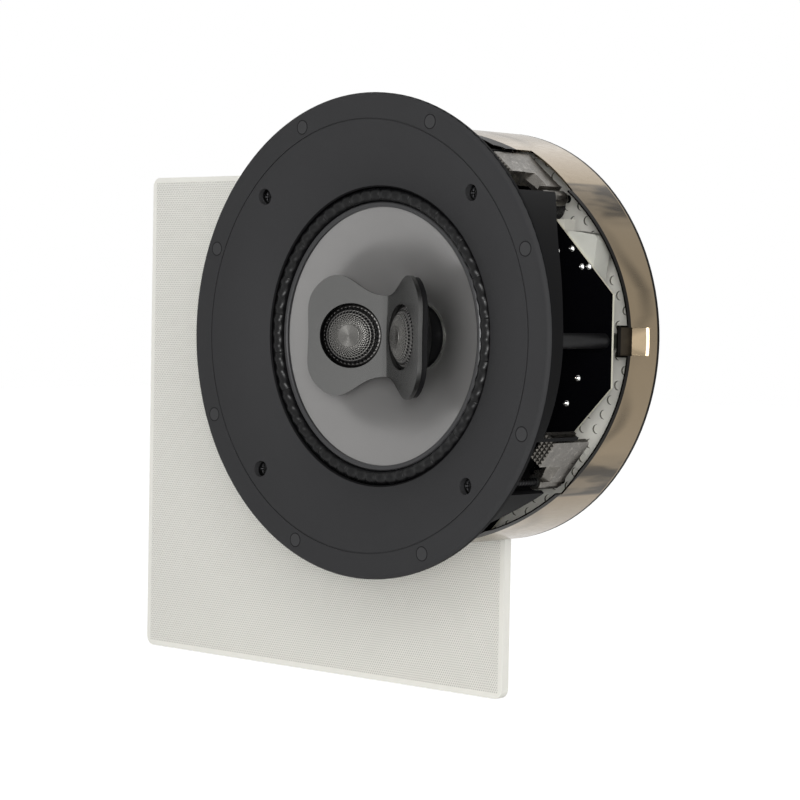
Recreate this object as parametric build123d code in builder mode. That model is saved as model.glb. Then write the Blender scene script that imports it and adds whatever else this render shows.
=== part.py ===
"""Round flush-mount loudspeaker with a twin-lobe tweeter pod, swing-out clamps and a square grille.

Millimetres, +Z up. The Y axis is the speaker's own axis: the listener is on the -Y side, and Y = 0
is the seat, the rear face of the flange that lies against the ceiling or wall.
"""
from build123d import *
import os
from math import cos, radians, sin, tan

# Flange, dished baffle and skirt of the front frame
flange_d = 277.0
flange_t = 4.0
flange_edge_r = 2.5
seam_inset = 15.0
seam_w = 0.8
dish_inset = 0.9
throat_d = 171.0
throat_depth = 13.0
lip_t = 3.0
wall = 3.0
skirt_d = 241.0
skirt_len = 29.6
tower_len = 61.0

# Rear edge of the skirt beside each tower: degrees clockwise from the clamp, and share of the drop
sweep_start = 1.5
sweep_by = [(10.6, 0.42), (19.3, 0.71), (31.0, 0.92)]
sweep_end = 44.0
sweep_slope = 0.8
box_start = 71.5

# Grille magnets in the flange
magnet_count = 8
magnet_inset = 8.5
magnet_d = 8.4
magnet_t = 2.6
magnet_gap = 0.1

# Swing-out clamps: screw, travelling nut and dog
clamp_count = 4
clamp_inset = 6.8
clamp_first = 45.0
screw_d = 4.6
screw_tip = 82.0
screw_head_d = 8.0
screw_head_t = 2.6
head_recess_d = 9.4
head_seat = 2.0
boss_d = 12.4
boss_len = 8.0
running_gap = 0.05
nut_d = 6.6
nut_flange_d = 8.4
nut_flange_t = 1.6
barrel_d = 8.8
barrel_front = 56.0
barrel_len = 19.0
dog_len = 34.5
pad_len = 18.0
pad_front = 42.0
knurl_columns = 4
knurl_rows = 7
knurl_t = 1.0
knurl_flat = 0.16
dog_outer = 5.2
dog_inner = 4.0
dog_plate = 2.4
dog_rear = 74.0
dog_step = 6.0
dog_bevel = 6.0
dog_stow_deg = 6.0
pocket_front = 4.0
pocket_floor = 9.6
pocket_gap = 0.6
tower_edge = 2.2

# Woofer: basket, motor and moving cone
basket_d = 198.0
basket_t = 1.8
basket_rim_w = 8.0
basket_waist_d = 116.0
basket_neck_d = 100.0
ledge_gap = 4.0
spoke_count = 8
spoke_w = 15.0
window_len = 24.0
woofer_screw_count = 8
woofer_screw_ring_d = 190.4
woofer_screw_d = 3.0
woofer_screw_len = 6.0
woofer_head_d = 6.0
woofer_head_t = 2.0
plate_front = 60.0
plate_t = 6.0
plate_d = 96.0
magnet_motor_t = 16.0
magnet_motor_d = 100.0
magnet_motor_bore = 54.0
yoke_t = 7.0
yoke_d = 92.0
pole_d = 38.6
pole_bore_d = 8.0
coil_d = 42.0
coil_len = 12.0
coil_gap = 0.4
former_d = 40.5
former_t = 0.3
cone_d = 148.0
cone_rim = 12.9
cone_apex = 46.0
cone_bow = 3.4
cone_t = 1.0
cone_lip_w = 3.0
cone_neck = 2.2
trim_w = 3.1
trim_t = 2.1
surround_t = 0.6
surround_flat = 1.9
roll_h = 4.6
soft_gap = 0.3
spider_t = 0.5
spider_wave = 1.6
spider_waves = 4

# Tweeter pod on its post
post_d = 37.4
fold_depth = 17.5
lobe_tilt = 25.5
lobe_len = 47.5
waist_h = 46.6
lobe_h = 70.0
lobe_peak = 31.0
face_t = 2.6
fold_r = 5.0
pod_groove = 0.7
pod_rim_t = 2.8
pod_inset = 0.9
shell_depth = 13.5
shell_end_d = 33.0
pod_neck = 24.0
pod_spine_w = 14.0
pod_collar_w = 0.6
pod_collar_t = 8.0
tweeter_at = 21.7
aperture_d = 37.6
lens_gap = 0.3
lens_t = 0.9
lens_rim_t = 1.6
lens_recess = 2.6
lens_rise = 5.0
lens_disc_d = 13.0
lens_disc_t = 0.8
dome_d = 25.0
dome_t = 0.4
dome_rise = 4.0
motor_d = 30.0
motor_t = 5.0

# Octagonal crossover board on four posts
board_inset = 8.8
board_edge = 53.0
board_t = 1.6
board_front = 82.0
board_bore_d = 106.0
rod_inset = 6.0
rod_d = 9.0
rod_seat = 6.0
rod_boss_d = 13.0
joint_d = 3.2

# Pieces on the board, placed by shares of the board's half width
joint_spots = [(0.8, 0.37), (0.79, -0.19), (0.72, -0.32), (0.64, 0.45), (0.735, 0.46), (0.56, 0.26), (0.845, 0.37),
               (0.53, -0.48)]
film_spot = (0.77, 0.41)
film_w = 22.0
film_h = 30.0
film_t = 13.0
film_turn = -8.0
coil_spot = (-0.69, 0.37)
choke_d = 30.0
choke_bore_d = 12.0
choke_t = 16.0
tin_spots = [(-0.55, -0.56), (-0.33, -0.69), (0.58, -0.55), (0.45, 0.68)]
tin_d = 16.0
tin_t = 22.0
resistor_spots = [(0, 0.67), (0, 0.79), (-0.76, -0.18), (0.57, 0.57)]
resistor_w = 24.0
resistor_h = 9.0
terminal_spot = (0, -0.81)
terminal_w = 34.0
terminal_h = 16.0
terminal_t = 14.0

# Rear can and its plate
can_d = 244.6
can_t = 1.0
can_front = 46.0
can_rear = 115.0
can_flange_w = 8.0
side_window_h = 220.0
side_window_len = 40.0
groove_w = 16.0
groove_depth = 7.5
groove_end = 7.0
groove_slope = 9.0
plate_gap = 0.3
rear_plate_t = 1.6
dog_room = 1.8

# Square grille, standing apart behind the speaker
grille_w = 323.0
grille_corner_r = 6.0
grille_t = 0.9
grille_rim = 6.0
grille_x = -158.0
grille_y = 123.0
grille_z = -59.6

# Places worked out from the sizes
front = -flange_t
flange_r = flange_d / 2
seam_r = flange_r - seam_inset
dish_r = seam_r - dish_inset
magnet_ring_r = flange_r - magnet_inset
throat_r = throat_d / 2
throat = front + throat_depth
seat_ring = throat + lip_t
skirt_r = skirt_d / 2
skirt_in = skirt_r - wall
basket_r = basket_d / 2
clamp_r = skirt_r - clamp_inset
can_r = can_d / 2
board_w = can_d - 2 * board_inset
cone_r = cone_d / 2
rod_r = board_w / 2 - rod_inset
ledge_depth = cone_apex + ledge_gap
board_rear = board_front + board_t
plate_rear = plate_front + plate_t
magnet_rear = plate_rear + magnet_motor_t
yoke_rear = magnet_rear + yoke_t
rear_plate_front = can_rear - can_t - rear_plate_t
barrel_rear = barrel_front + barrel_len
clamp_angles = [clamp_first + 360 / clamp_count * k for k in range(clamp_count)]
rod_angles = [angle - clamp_first for angle in clamp_angles]

os.makedirs("parts", exist_ok=True)


def save(part, name):
    """Label a finished piece with its node name and write it."""
    part.label = name
    export_step(part, f"parts/{name}.step")


def facing(y, angle=0.0, radius=0.0):
    """Plane at depth y, seen by the listener: x runs outwards at this angle, extrude(-t) goes back."""
    a = radians(angle)
    out = Vector(cos(a), 0, sin(a))
    return Plane(origin=Vector(0, y, 0) + out * radius, x_dir=out, z_dir=(0, -1, 0))


def radial(angle, radius=0.0):
    """Plane facing outwards at this angle: x runs clockwise for the listener, y runs back."""
    a = radians(angle)
    out = Vector(cos(a), 0, sin(a))
    return Plane(origin=out * radius, x_dir=(sin(a), 0, -cos(a)), z_dir=out)


def lobe_plane(side, back=0.0):
    """Plane of one lobe's face, set back by a depth: x runs from the fold to the lobe's outer edge."""
    a = radians(lobe_tilt)
    out = Vector(side * cos(a), -sin(a), 0)
    normal = Vector(-side * sin(a), -cos(a), 0)
    return Plane(origin=Vector(0, fold_depth, 0) - normal * back, x_dir=out, z_dir=normal)


def dog_plane(angle, y):
    """Plane of a stowed dog at depth y: x points away from the speaker's axis, y along the dog."""
    turned = radians(angle + dog_stow_deg)
    return Plane(origin=facing(y, angle, clamp_r).origin, x_dir=(cos(turned), 0, sin(turned)), z_dir=(0, -1, 0))


def ring(outer, inner, low, high):
    """Plain ring about the speaker's axis, from radius inner to outer and from depth low to high."""
    with BuildPart() as made:
        with BuildSketch(facing(low)):
            Circle(outer)
            if inner > 0:
                Circle(inner, mode=Mode.SUBTRACT)
        extrude(amount=low - high)
    return made.part


# Front frame: flange, dish, seat for the basket and skirt in one turned outline
with BuildPart() as front_frame:
    with BuildSketch(Plane.XY):
        with BuildLine():
            under = front + wall
            seat_w = basket_r - throat_r
            rib_y = front + wall + throat_depth * 0.45
            Polyline((dish_r, front), (seam_r - seam_w / 2, front), (seam_r - seam_w / 2, front + seam_w),
                     (seam_r + seam_w / 2, front + seam_w), (seam_r + seam_w / 2, front),
                     (flange_r - flange_edge_r, front))
            RadiusArc((flange_r - flange_edge_r, front), (flange_r, front + flange_edge_r), -flange_edge_r)
            Polyline((flange_r, front + flange_edge_r), (flange_r, 0), (skirt_r, 0), (skirt_r, tower_len),
                     (skirt_in, tower_len), (skirt_in, under))
            TangentArc((skirt_in, under), (throat_r + seat_w, rib_y), tangent=(-1, 0))
            Polyline((throat_r + seat_w, rib_y), (throat_r + seat_w, seat_ring), (throat_r, seat_ring),
                     (throat_r, throat))
            TangentArc((dish_r, front), (throat_r, throat), tangent=(-1, 0))
        make_face()
    revolve(axis=Axis.Y)

    # Pocket box of each stowed dog, its tower and the boss of its screw
    for angle in clamp_angles:
        box_in = pocket_floor + wall
        box_cw = dog_inner + pocket_gap + wall
        pocket_end = dog_len + pocket_gap + 1.0
        for along, depth in ((pocket_end + wall, skirt_len), (box_cw, tower_len)):
            with BuildSketch(facing(under + 1, angle)):
                with Locations((clamp_r + (skirt_r - clamp_r - box_in) / 2, (along - box_cw) / 2)):
                    Rectangle(skirt_r - clamp_r + box_in, along + box_cw)
                Circle(skirt_r - wall / 2, mode=Mode.INTERSECT)
            extrude(amount=under + 1 - depth)

    # Rear edge of the skirt, which sweeps down from each tower
    middle = (sweep_start + box_start) / 2
    start, low, end = [skirt_r * sin(radians(turn - middle)) for turn in (sweep_start, sweep_end, box_start)]
    between = [(skirt_r * sin(radians(turn - middle)), tower_len - share * (tower_len - skirt_len))
               for turn, share in sweep_by]
    for angle in clamp_angles:
        with BuildSketch(radial(angle - middle, skirt_in * cos(radians(middle)))):
            with BuildLine():
                Spline((start, tower_len), *between, (low, skirt_len), tangents=[(1, -sweep_slope), (1, 0)])
                Polyline((low, skirt_len), (end, skirt_len), (end, tower_len + 1), (start, tower_len + 1),
                         (start, tower_len))
            make_face()
        extrude(amount=skirt_r, mode=Mode.SUBTRACT)

    # Pockets, open to the side and to the rear, with the tower's wall close beside the screw
    for angle in clamp_angles:
        with BuildSketch(facing(pocket_front, angle, clamp_r)):
            with Locations(((flange_r - clamp_r - pocket_floor) / 2, (pocket_end - tower_edge) / 2)):
                Rectangle(flange_r - clamp_r + pocket_floor, pocket_end + tower_edge)
            Circle(barrel_d / 2 + pocket_gap)
        extrude(amount=pocket_front - tower_len - 1, mode=Mode.SUBTRACT)

    for angle in clamp_angles:
        with BuildSketch(facing(under, angle, clamp_r)):
            Circle(boss_d / 2)
        extrude(amount=under - boss_len)
        with BuildSketch(facing(front, angle, clamp_r)):
            Circle(head_recess_d / 2)
        extrude(amount=front - head_seat, mode=Mode.SUBTRACT)
        with BuildSketch(facing(front, angle, clamp_r)):
            Circle(screw_d / 2 + running_gap)
        extrude(amount=front - boss_len, mode=Mode.SUBTRACT)

    # Bosses of the board's posts, pockets of the magnets and pilot holes of the woofer's screws
    with BuildSketch(facing(under + 1)):
        with PolarLocations(rod_r, clamp_count):
            Circle(rod_boss_d / 2)
    extrude(amount=under + 1 - rod_seat)
    with BuildSketch(facing(front)):
        with PolarLocations(magnet_ring_r, magnet_count, start_angle=180 / magnet_count):
            Circle(magnet_d / 2 + magnet_gap)
    extrude(amount=-magnet_t, mode=Mode.SUBTRACT)
    with BuildSketch(facing(seat_ring - woofer_screw_len)):
        with PolarLocations(woofer_screw_ring_d / 2, woofer_screw_count, start_angle=180 / woofer_screw_count):
            Circle(woofer_screw_d / 2 + running_gap)
    extrude(amount=-woofer_screw_len, mode=Mode.SUBTRACT)
save(front_frame.part, "front_frame")

with BuildPart() as grille_magnets:
    with BuildSketch(facing(front)):
        with PolarLocations(magnet_ring_r, magnet_count, start_angle=180 / magnet_count):
            Circle(magnet_d / 2)
    extrude(amount=-magnet_t)
save(grille_magnets.part, "grille_magnets")


# Clamps: each has a screw that turns in the frame, a nut that travels and a dog that swings on the nut
def clamp_screw(angle):
    """Pan-head screw with a cross recess, held by its head in the frame's boss."""
    with BuildPart() as made:
        with BuildSketch(facing(head_seat - screw_head_t, angle, clamp_r)):
            Circle(screw_head_d / 2)
        extrude(amount=-screw_head_t)
        with BuildSketch(facing(head_seat, angle, clamp_r)):
            Circle(screw_d / 2)
        extrude(amount=head_seat - screw_tip)
        with BuildSketch(facing(head_seat - screw_head_t, angle, clamp_r)):
            Rectangle(screw_head_d * 0.6, 1.0)
            Rectangle(1.0, screw_head_d * 0.6)
        extrude(amount=-screw_head_t * 0.6, mode=Mode.SUBTRACT)
    return made.part


def clamp_nut(angle):
    """Flanged threaded bush: its sleeve is the pivot of the dog, its flange pushes the dog forward."""
    with BuildPart() as made:
        with BuildSketch(facing(barrel_front, angle, clamp_r)):
            Circle(nut_d / 2)
        extrude(amount=-barrel_len)
        with BuildSketch(facing(barrel_rear, angle, clamp_r)):
            RegularPolygon(nut_flange_d / 2, 6)
        extrude(amount=-nut_flange_t)
        with BuildSketch(facing(barrel_front, angle, clamp_r)):
            Circle(screw_d / 2 + running_gap)
        extrude(amount=-barrel_len - nut_flange_t, mode=Mode.SUBTRACT)
    return made.part


def knurl_section(length, count):
    """Outline cut off a pad of this length: a row of V grooves that leaves count teeth with small flats."""
    pitch = length / count
    flat = pitch * knurl_flat / 2
    points = [(0, knurl_t)]
    for k in range(count):
        centre = (k + 0.5) * pitch
        points += [(centre - flat, running_gap), (centre + flat, running_gap), ((k + 1) * pitch, knurl_t)]
    Polyline((0, -knurl_t), *points, (length, -knurl_t), (0, -knurl_t))


def clamp_dog(angle):
    """Die-cast dog: barrel on the nut, web, and a hollow box whose front is the knurled pad."""
    width = dog_outer + dog_inner
    middle = (dog_outer - dog_inner) / 2
    barrel_r = barrel_d / 2
    tip = dog_len
    root = dog_len - pad_len
    chamfer_t = dog_plate * 0.8
    base_plane = dog_plane(angle, 0)
    outward, along = base_plane.x_dir, base_plane.y_dir
    with BuildPart() as made:
        # Outline of the dog seen square to its outer plate: x along the dog, y towards the rear
        with BuildSketch(Plane(origin=base_plane.from_local_coords((-dog_inner, 0, 0)), x_dir=along,
                               z_dir=-outward)):
            with BuildLine():
                Polyline((tip, pad_front), (tip, dog_rear - chamfer_t), (tip - chamfer_t, dog_rear),
                         (barrel_r + chamfer_t, dog_rear), (barrel_r, barrel_rear), (0, barrel_rear),
                         (0, barrel_front), (barrel_r + 3, barrel_front), (root - 1.5, barrel_front - 1),
                         (root, barrel_front - 2.5), (root, pad_front), (tip, pad_front))
            make_face()
        extrude(amount=-width)
        # Hollow behind the pad, open at the tip and the rear, with the inner plate shorter than the outer
        with BuildSketch(dog_plane(angle, pad_front + dog_plate)):
            with Locations((middle - 0.3, tip - pad_len / 2 + 1.5)):
                Rectangle(width - 2 * dog_plate, pad_len - 1.0)
        extrude(amount=-(dog_rear - pad_front), mode=Mode.SUBTRACT)
        with BuildSketch(dog_plane(angle, dog_rear - dog_step)):
            with Locations((-dog_inner, tip)):
                Rectangle(width, 2 * pad_len - 2 * dog_plate)
        extrude(amount=-2 * dog_step, mode=Mode.SUBTRACT)
        # Bevel that runs down the front of the web from the outer plate
        with BuildSketch(Plane(origin=base_plane.from_local_coords((dog_outer, barrel_r, 0)), x_dir=outward,
                               z_dir=along)):
            with BuildLine():
                Polyline((-0.7 * dog_bevel, barrel_front - 2), (0, barrel_front + dog_bevel),
                         (1, barrel_front + dog_bevel), (1, barrel_front - 2), (-0.7 * dog_bevel, barrel_front - 2))
            make_face()
        extrude(amount=root - barrel_r - 0.5, mode=Mode.SUBTRACT)
        # Knurl of the pad: two families of V grooves leave rows of blunt pyramids
        with BuildSketch(Plane(origin=base_plane.from_local_coords((-dog_inner, root, -pad_front)), x_dir=outward,
                               z_dir=along)):
            with BuildLine():
                knurl_section(width, knurl_columns)
            make_face()
        extrude(amount=pad_len, mode=Mode.SUBTRACT)
        with BuildSketch(Plane(origin=base_plane.from_local_coords((dog_outer, root, -pad_front)), x_dir=along,
                               z_dir=-outward)):
            with BuildLine():
                knurl_section(pad_len, knurl_rows)
            make_face()
        extrude(amount=width, mode=Mode.SUBTRACT)
        # Waist that thins the web from inside
        with BuildSketch(dog_plane(angle, barrel_front - 8)):
            with Locations((-dog_inner, root / 2 + barrel_r / 2)):
                Rectangle(2 * (width - 2 * dog_plate - 1), root - barrel_r - 2)
        extrude(amount=-(barrel_len + 10), mode=Mode.SUBTRACT)
        # Barrel on the nut
        with BuildSketch(dog_plane(angle, barrel_front - 10)):
            with Locations((0, -1)):
                Rectangle(3 * barrel_d, barrel_r * 2 + 1, align=(Align.CENTER, Align.CENTER))
        extrude(amount=-(barrel_len + 12), mode=Mode.SUBTRACT)
        with BuildSketch(dog_plane(angle, barrel_front)):
            Circle(barrel_r)
            with Locations((middle, barrel_r)):
                Rectangle(dog_plate + 1, barrel_r * 1.6)
        extrude(amount=-barrel_len)
        with BuildSketch(dog_plane(angle, barrel_front)):
            Circle(nut_d / 2 + running_gap)
        extrude(amount=-barrel_len, mode=Mode.SUBTRACT)
        with BuildSketch(dog_plane(angle, barrel_rear - running_gap)):
            Rectangle(4 * dog_len, 4 * dog_len)
        extrude(amount=-barrel_len, mode=Mode.SUBTRACT)
    return made.part


for number, angle in enumerate(clamp_angles, 1):
    save(clamp_screw(angle), f"clamp_screw_{number}")
    save(clamp_nut(angle), f"clamp_nut_{number}")
    save(clamp_dog(angle), f"clamp_dog_{number}")


# Woofer chassis and motor
with BuildPart() as basket:
    waist = basket_waist_d / 2
    neck = basket_neck_d / 2
    top = seat_ring + surround_t
    with BuildSketch(Plane.XY):
        with BuildLine():
            Polyline((basket_r, top), (basket_r, top + basket_t), (basket_r - basket_rim_w, top + basket_t),
                     (waist, ledge_depth), (waist, ledge_depth + basket_t), (neck, ledge_depth + basket_t),
                     (neck, plate_front), (coil_d / 2 + 3, plate_front), (coil_d / 2 + 3, plate_front - basket_t),
                     (neck - basket_t, plate_front - basket_t), (neck - basket_t, ledge_depth),
                     (waist - basket_t, ledge_depth), (basket_r - basket_rim_w - 1.4 * basket_t, top + basket_t),
                     (throat_r - 1.0, top + basket_t), (throat_r - 1.0, top), (basket_r, top))
        make_face()
    revolve(axis=Axis.Y)
    middle_r = (basket_r + waist) / 2
    for k in range(spoke_count):
        step = 360 / spoke_count
        gap = 2 * middle_r * sin(radians(step / 2)) - spoke_w
        with BuildSketch(radial(step * k, waist - 6)):
            with Locations((0, (ledge_depth + top) / 2)):
                Rectangle(gap * 0.86, window_len)
            fillet(vertices(), 4)
        extrude(amount=basket_r, mode=Mode.SUBTRACT)
    with BuildSketch(facing(top)):
        with PolarLocations(woofer_screw_ring_d / 2, woofer_screw_count, start_angle=180 / woofer_screw_count):
            Circle(woofer_screw_d / 2 + running_gap)
    extrude(amount=-basket_t, mode=Mode.SUBTRACT)
save(basket.part, "basket")

with BuildPart() as woofer_screws:
    with BuildSketch(facing(top + basket_t)):
        with PolarLocations(woofer_screw_ring_d / 2, woofer_screw_count, start_angle=180 / woofer_screw_count):
            Circle(woofer_head_d / 2)
    extrude(amount=-woofer_head_t)
    with BuildSketch(facing(seat_ring - woofer_screw_len)):
        with PolarLocations(woofer_screw_ring_d / 2, woofer_screw_count, start_angle=180 / woofer_screw_count):
            Circle(woofer_screw_d / 2)
    extrude(amount=-(woofer_screw_len + surround_t + basket_t))
save(woofer_screws.part, "woofer_screws")

save(ring(plate_d / 2, coil_d / 2 + coil_gap, plate_front, plate_rear), "top_plate")
save(ring(magnet_motor_d / 2, magnet_motor_bore / 2, plate_rear, magnet_rear), "woofer_magnet")

with BuildPart() as yoke:
    with BuildSketch(Plane.XY):
        with BuildLine():
            Polyline((pole_bore_d / 2, plate_front), (pole_d / 2, plate_front), (pole_d / 2, magnet_rear),
                     (yoke_d / 2, magnet_rear), (yoke_d / 2, yoke_rear - 2), (yoke_d / 2 - 2, yoke_rear),
                     (pole_bore_d / 2, yoke_rear), (pole_bore_d / 2, plate_front))
        make_face()
    revolve(axis=Axis.Y)
save(yoke.part, "yoke_with_pole")

# Moving cone: its flat lip carries the trim ring, its neck the voice coil
former_r = former_d / 2
with BuildPart() as cone:
    lip = cone_r + cone_lip_w
    neck_r = former_r + 0.01
    slope = Vector(cone_r - neck_r, cone_rim - cone_apex).normalized()
    across = Vector(-slope.Y, slope.X)
    centre = Vector((cone_r + neck_r) / 2, (cone_rim + cone_apex) / 2) - Vector(abs(across.X), abs(across.Y)) * cone_bow
    with BuildSketch(Plane.XY):
        with BuildLine():
            ThreePointArc((cone_r, cone_rim), (centre.X, centre.Y), (neck_r, cone_apex))
            Polyline((neck_r, cone_apex), (neck_r, cone_apex + cone_neck), (neck_r + cone_t, cone_apex + cone_neck),
                     (neck_r + cone_t, cone_apex + cone_t))
            ThreePointArc((neck_r + cone_t, cone_apex + cone_t), (centre.X + cone_t * 0.6, centre.Y + cone_t),
                          (cone_r + cone_t, cone_rim + cone_t))
            Polyline((cone_r + cone_t, cone_rim + cone_t), (lip, cone_rim + cone_t), (lip, cone_rim),
                     (cone_r, cone_rim))
        make_face()
    revolve(axis=Axis.Y)
save(cone.part, "cone")

with BuildPart() as trim_ring:
    foot = 1.3
    with BuildSketch(Plane.XY):
        with BuildLine():
            Polyline((cone_r + 0.2, cone_rim), (cone_r + 0.2, cone_rim - trim_t + 0.5),
                     (cone_r + 0.9, cone_rim - trim_t), (cone_r + trim_w - 0.6, cone_rim - trim_t),
                     (cone_r + trim_w, cone_rim - trim_t + 0.5), (cone_r + trim_w, seat_ring - soft_gap),
                     (cone_r + foot, seat_ring - soft_gap), (cone_r + foot, cone_rim), (cone_r + 0.2, cone_rim))
        make_face()
    revolve(axis=Axis.Y)
save(trim_ring.part, "trim_ring")

# Rubber surround: half roll with radial ridges, flat edges inside and outside
with BuildPart() as surround:
    roll_in = cone_r + foot + soft_gap + surround_flat
    roll_out = throat_r - soft_gap
    roll_mid = (roll_in + roll_out) / 2
    base = seat_ring
    with BuildSketch(Plane.XY):
        with BuildLine():
            Line((roll_in - surround_flat, base), (roll_in, base))
            ThreePointArc((roll_in, base), (roll_mid, base - roll_h), (roll_out, base))
            Polyline((roll_out, base), (basket_r - 6, base), (basket_r - 6, base + surround_t),
                     (roll_out - surround_t, base + surround_t))
            ThreePointArc((roll_out - surround_t, base + surround_t), (roll_mid, base - roll_h + surround_t),
                          (roll_in + surround_t, base + surround_t))
            Polyline((roll_in + surround_t, base + surround_t), (roll_in - surround_flat, base + surround_t),
                     (roll_in - surround_flat, base))
        make_face()
    revolve(axis=Axis.Y)
save(surround.part, "surround")

save(ring(former_r, former_r - former_t, cone_apex - 2, plate_rear + 6), "voice_coil_former")
coil_mid = (plate_front + plate_rear) / 2
save(ring(coil_d / 2, former_r, coil_mid - coil_len / 2, coil_mid + coil_len / 2), "voice_coil")

# Spider: corrugated disc between the basket's ledge and the former
with BuildPart() as spider:
    spider_in = former_r + soft_gap
    spider_out = waist - basket_t
    pitch = (spider_out - spider_in - 8) / spider_waves / 2
    with BuildSketch(Plane.XY):
        with BuildLine():
            points = [(spider_in, ledge_depth - spider_t), (spider_in + 3, ledge_depth - spider_t)]
            points += [(spider_in + 3 + pitch * (k + 0.5), ledge_depth - spider_t - spider_wave * ((k + 1) % 2))
                       for k in range(2 * spider_waves)]
            points += [(spider_out, ledge_depth - spider_t)]
            lower = [(x, y + spider_t) for x, y in reversed(points)]
            Polyline(*points, *lower, points[0])
        make_face()
    revolve(axis=Axis.Y)
save(spider.part, "spider")


# Tweeter pod
def lobe_outline(shrink=0.0):
    """Half-height curve of a lobe as points from the fold to the outer edge."""
    half = lobe_h / 2 - shrink
    waist_half = waist_h / 2 - shrink
    end = lobe_len - shrink
    return [(0, waist_half), (lobe_peak * 0.55, waist_half + (half - waist_half) * 0.5), (lobe_peak, half),
            (end - 2.6, half * 0.73), (end, 0)]


def lobe_sketch(side, back, shrink=0.0):
    """Closed face of one lobe on its own plane."""
    points = lobe_outline(shrink)
    with BuildSketch(lobe_plane(side, back), mode=Mode.PRIVATE) as made:
        with BuildLine():
            Spline(*points, tangents=[(1, 0), (0, -1)])
            Line(points[0], (points[0][0], -points[0][1]))
            Spline(*[(x, -y) for x, y in points], tangents=[(1, 0), (0, 1)])
        make_face()
    return made.sketch


with BuildPart() as pod_faceplate:
    for side in (-1, 1):
        extrude(lobe_sketch(side, 0), amount=-face_t)
    # Rounded fold between the lobes
    with BuildSketch(Plane.XY.offset(-waist_h / 2)):
        with BuildLine():
            tilt = radians(lobe_tilt)
            run = fold_r * sin(tilt)
            rise = run * tan(tilt)
            fold_rear = fold_depth + face_t / cos(tilt)
            ThreePointArc((-run, fold_depth - rise), (0, fold_depth - fold_r * (1 / cos(tilt) - 1)),
                          (run, fold_depth - rise))
            Polyline((run, fold_depth - rise), (run, fold_rear - rise), (0, fold_rear), (-run, fold_rear - rise),
                     (-run, fold_depth - rise))
        make_face()
    extrude(amount=waist_h)
    for side in (-1, 1):
        with BuildSketch(lobe_plane(side)):
            with Locations((tweeter_at, 0)):
                Circle(aperture_d / 2)
        extrude(amount=-face_t * 1.5, mode=Mode.SUBTRACT)
save(pod_faceplate.part, "pod_faceplate")

with BuildPart() as pod_shell:
    shell_front = face_t + pod_groove
    for side in (-1, 1):
        extrude(lobe_sketch(side, face_t, 2.2), amount=-pod_groove - 0.5)
        extrude(lobe_sketch(side, shell_front, pod_inset), amount=-pod_rim_t)
        with BuildSketch(lobe_plane(side, shell_depth), mode=Mode.PRIVATE) as rear:
            with Locations((tweeter_at - 3, 0)):
                Circle(shell_end_d / 2)
        loft([lobe_sketch(side, shell_front + pod_rim_t, pod_inset + 0.5).face(), rear.sketch.face()])
    with BuildSketch(facing(fold_rear + pod_groove)):
        Rectangle(pod_spine_w, waist_h - 4 * pod_inset)
    extrude(amount=fold_rear + pod_groove - pod_neck)
    with BuildSketch(facing(pod_neck - 3)):
        Circle(post_d / 2)
    extrude(amount=-3)
    with BuildSketch(facing(pod_neck)):
        Circle(post_d / 2 + pod_collar_w)
    extrude(amount=-pod_collar_t)
    # Wells of the tweeters and the wire passage into the post
    for side in (-1, 1):
        with BuildSketch(lobe_plane(side)):
            with Locations((tweeter_at, 0)):
                Circle(motor_d / 2 + 0.3)
        extrude(amount=-(lens_recess + lens_rim_t + motor_t + 1.0), mode=Mode.SUBTRACT)
        with BuildSketch(lobe_plane(side)):
            with Locations((tweeter_at, 0)):
                Circle(aperture_d / 2)
        extrude(amount=-(lens_recess + lens_rim_t), mode=Mode.SUBTRACT)
save(pod_shell.part, "pod_shell")

with BuildPart() as pod_post:
    with BuildSketch(facing(pod_neck + pod_collar_t)):
        Circle(post_d / 2)
        Circle(pole_bore_d / 2, mode=Mode.SUBTRACT)
    extrude(amount=pod_neck + pod_collar_t - plate_front)
save(pod_post.part, "pod_post")


def turned_on_lobe(side, outline):
    """Turn an outline of (radius, height above the face) points about the tweeter's axis."""
    base_plane = lobe_plane(side)
    axis_at = base_plane.from_local_coords((tweeter_at, 0, 0))
    section = Plane(origin=axis_at, x_dir=base_plane.x_dir, z_dir=-base_plane.y_dir)
    with BuildPart() as made:
        with BuildSketch(section):
            with BuildLine():
                outline()
            make_face()
        revolve(axis=Axis(axis_at, base_plane.z_dir))
    return made.part


def lens_outline():
    """Domed perforated lens: flat rim, dome and a proud turned disc at its middle."""
    rim = aperture_d / 2 - lens_gap
    low = -lens_recess
    Polyline((rim, low - lens_rim_t), (rim, low), (rim - 1.2, low))
    ThreePointArc((rim - 1.2, low), (rim * 0.62, low + lens_rise * 0.55), (lens_disc_d / 2, low + lens_rise))
    Polyline((lens_disc_d / 2, low + lens_rise), (lens_disc_d / 2 - 0.4, low + lens_rise + lens_disc_t),
             (0, low + lens_rise + lens_disc_t * 0.4), (0, low + lens_rise - lens_t),
             (lens_disc_d / 2, low + lens_rise - lens_t))
    ThreePointArc((lens_disc_d / 2, low + lens_rise - lens_t), (rim * 0.62, low + lens_rise * 0.55 - lens_t),
                  (rim - 1.8, low - lens_t))
    Polyline((rim - 1.8, low - lens_t), (rim - 1.8, low - lens_rim_t), (rim, low - lens_rim_t))


def dome_outline():
    """Soft dome with a flat edge on the motor."""
    low = -lens_recess - lens_rim_t
    r = dome_d / 2
    TangentArc((0, low + dome_rise), (r, low), tangent=(1, 0))
    Polyline((r, low), (r + 1.5, low), (r + 1.5, low - dome_t), (r - dome_t, low - dome_t))
    TangentArc((0, low + dome_rise - dome_t), (r - dome_t, low - dome_t), tangent=(1, 0))
    Line((0, low + dome_rise - dome_t), (0, low + dome_rise))


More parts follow.
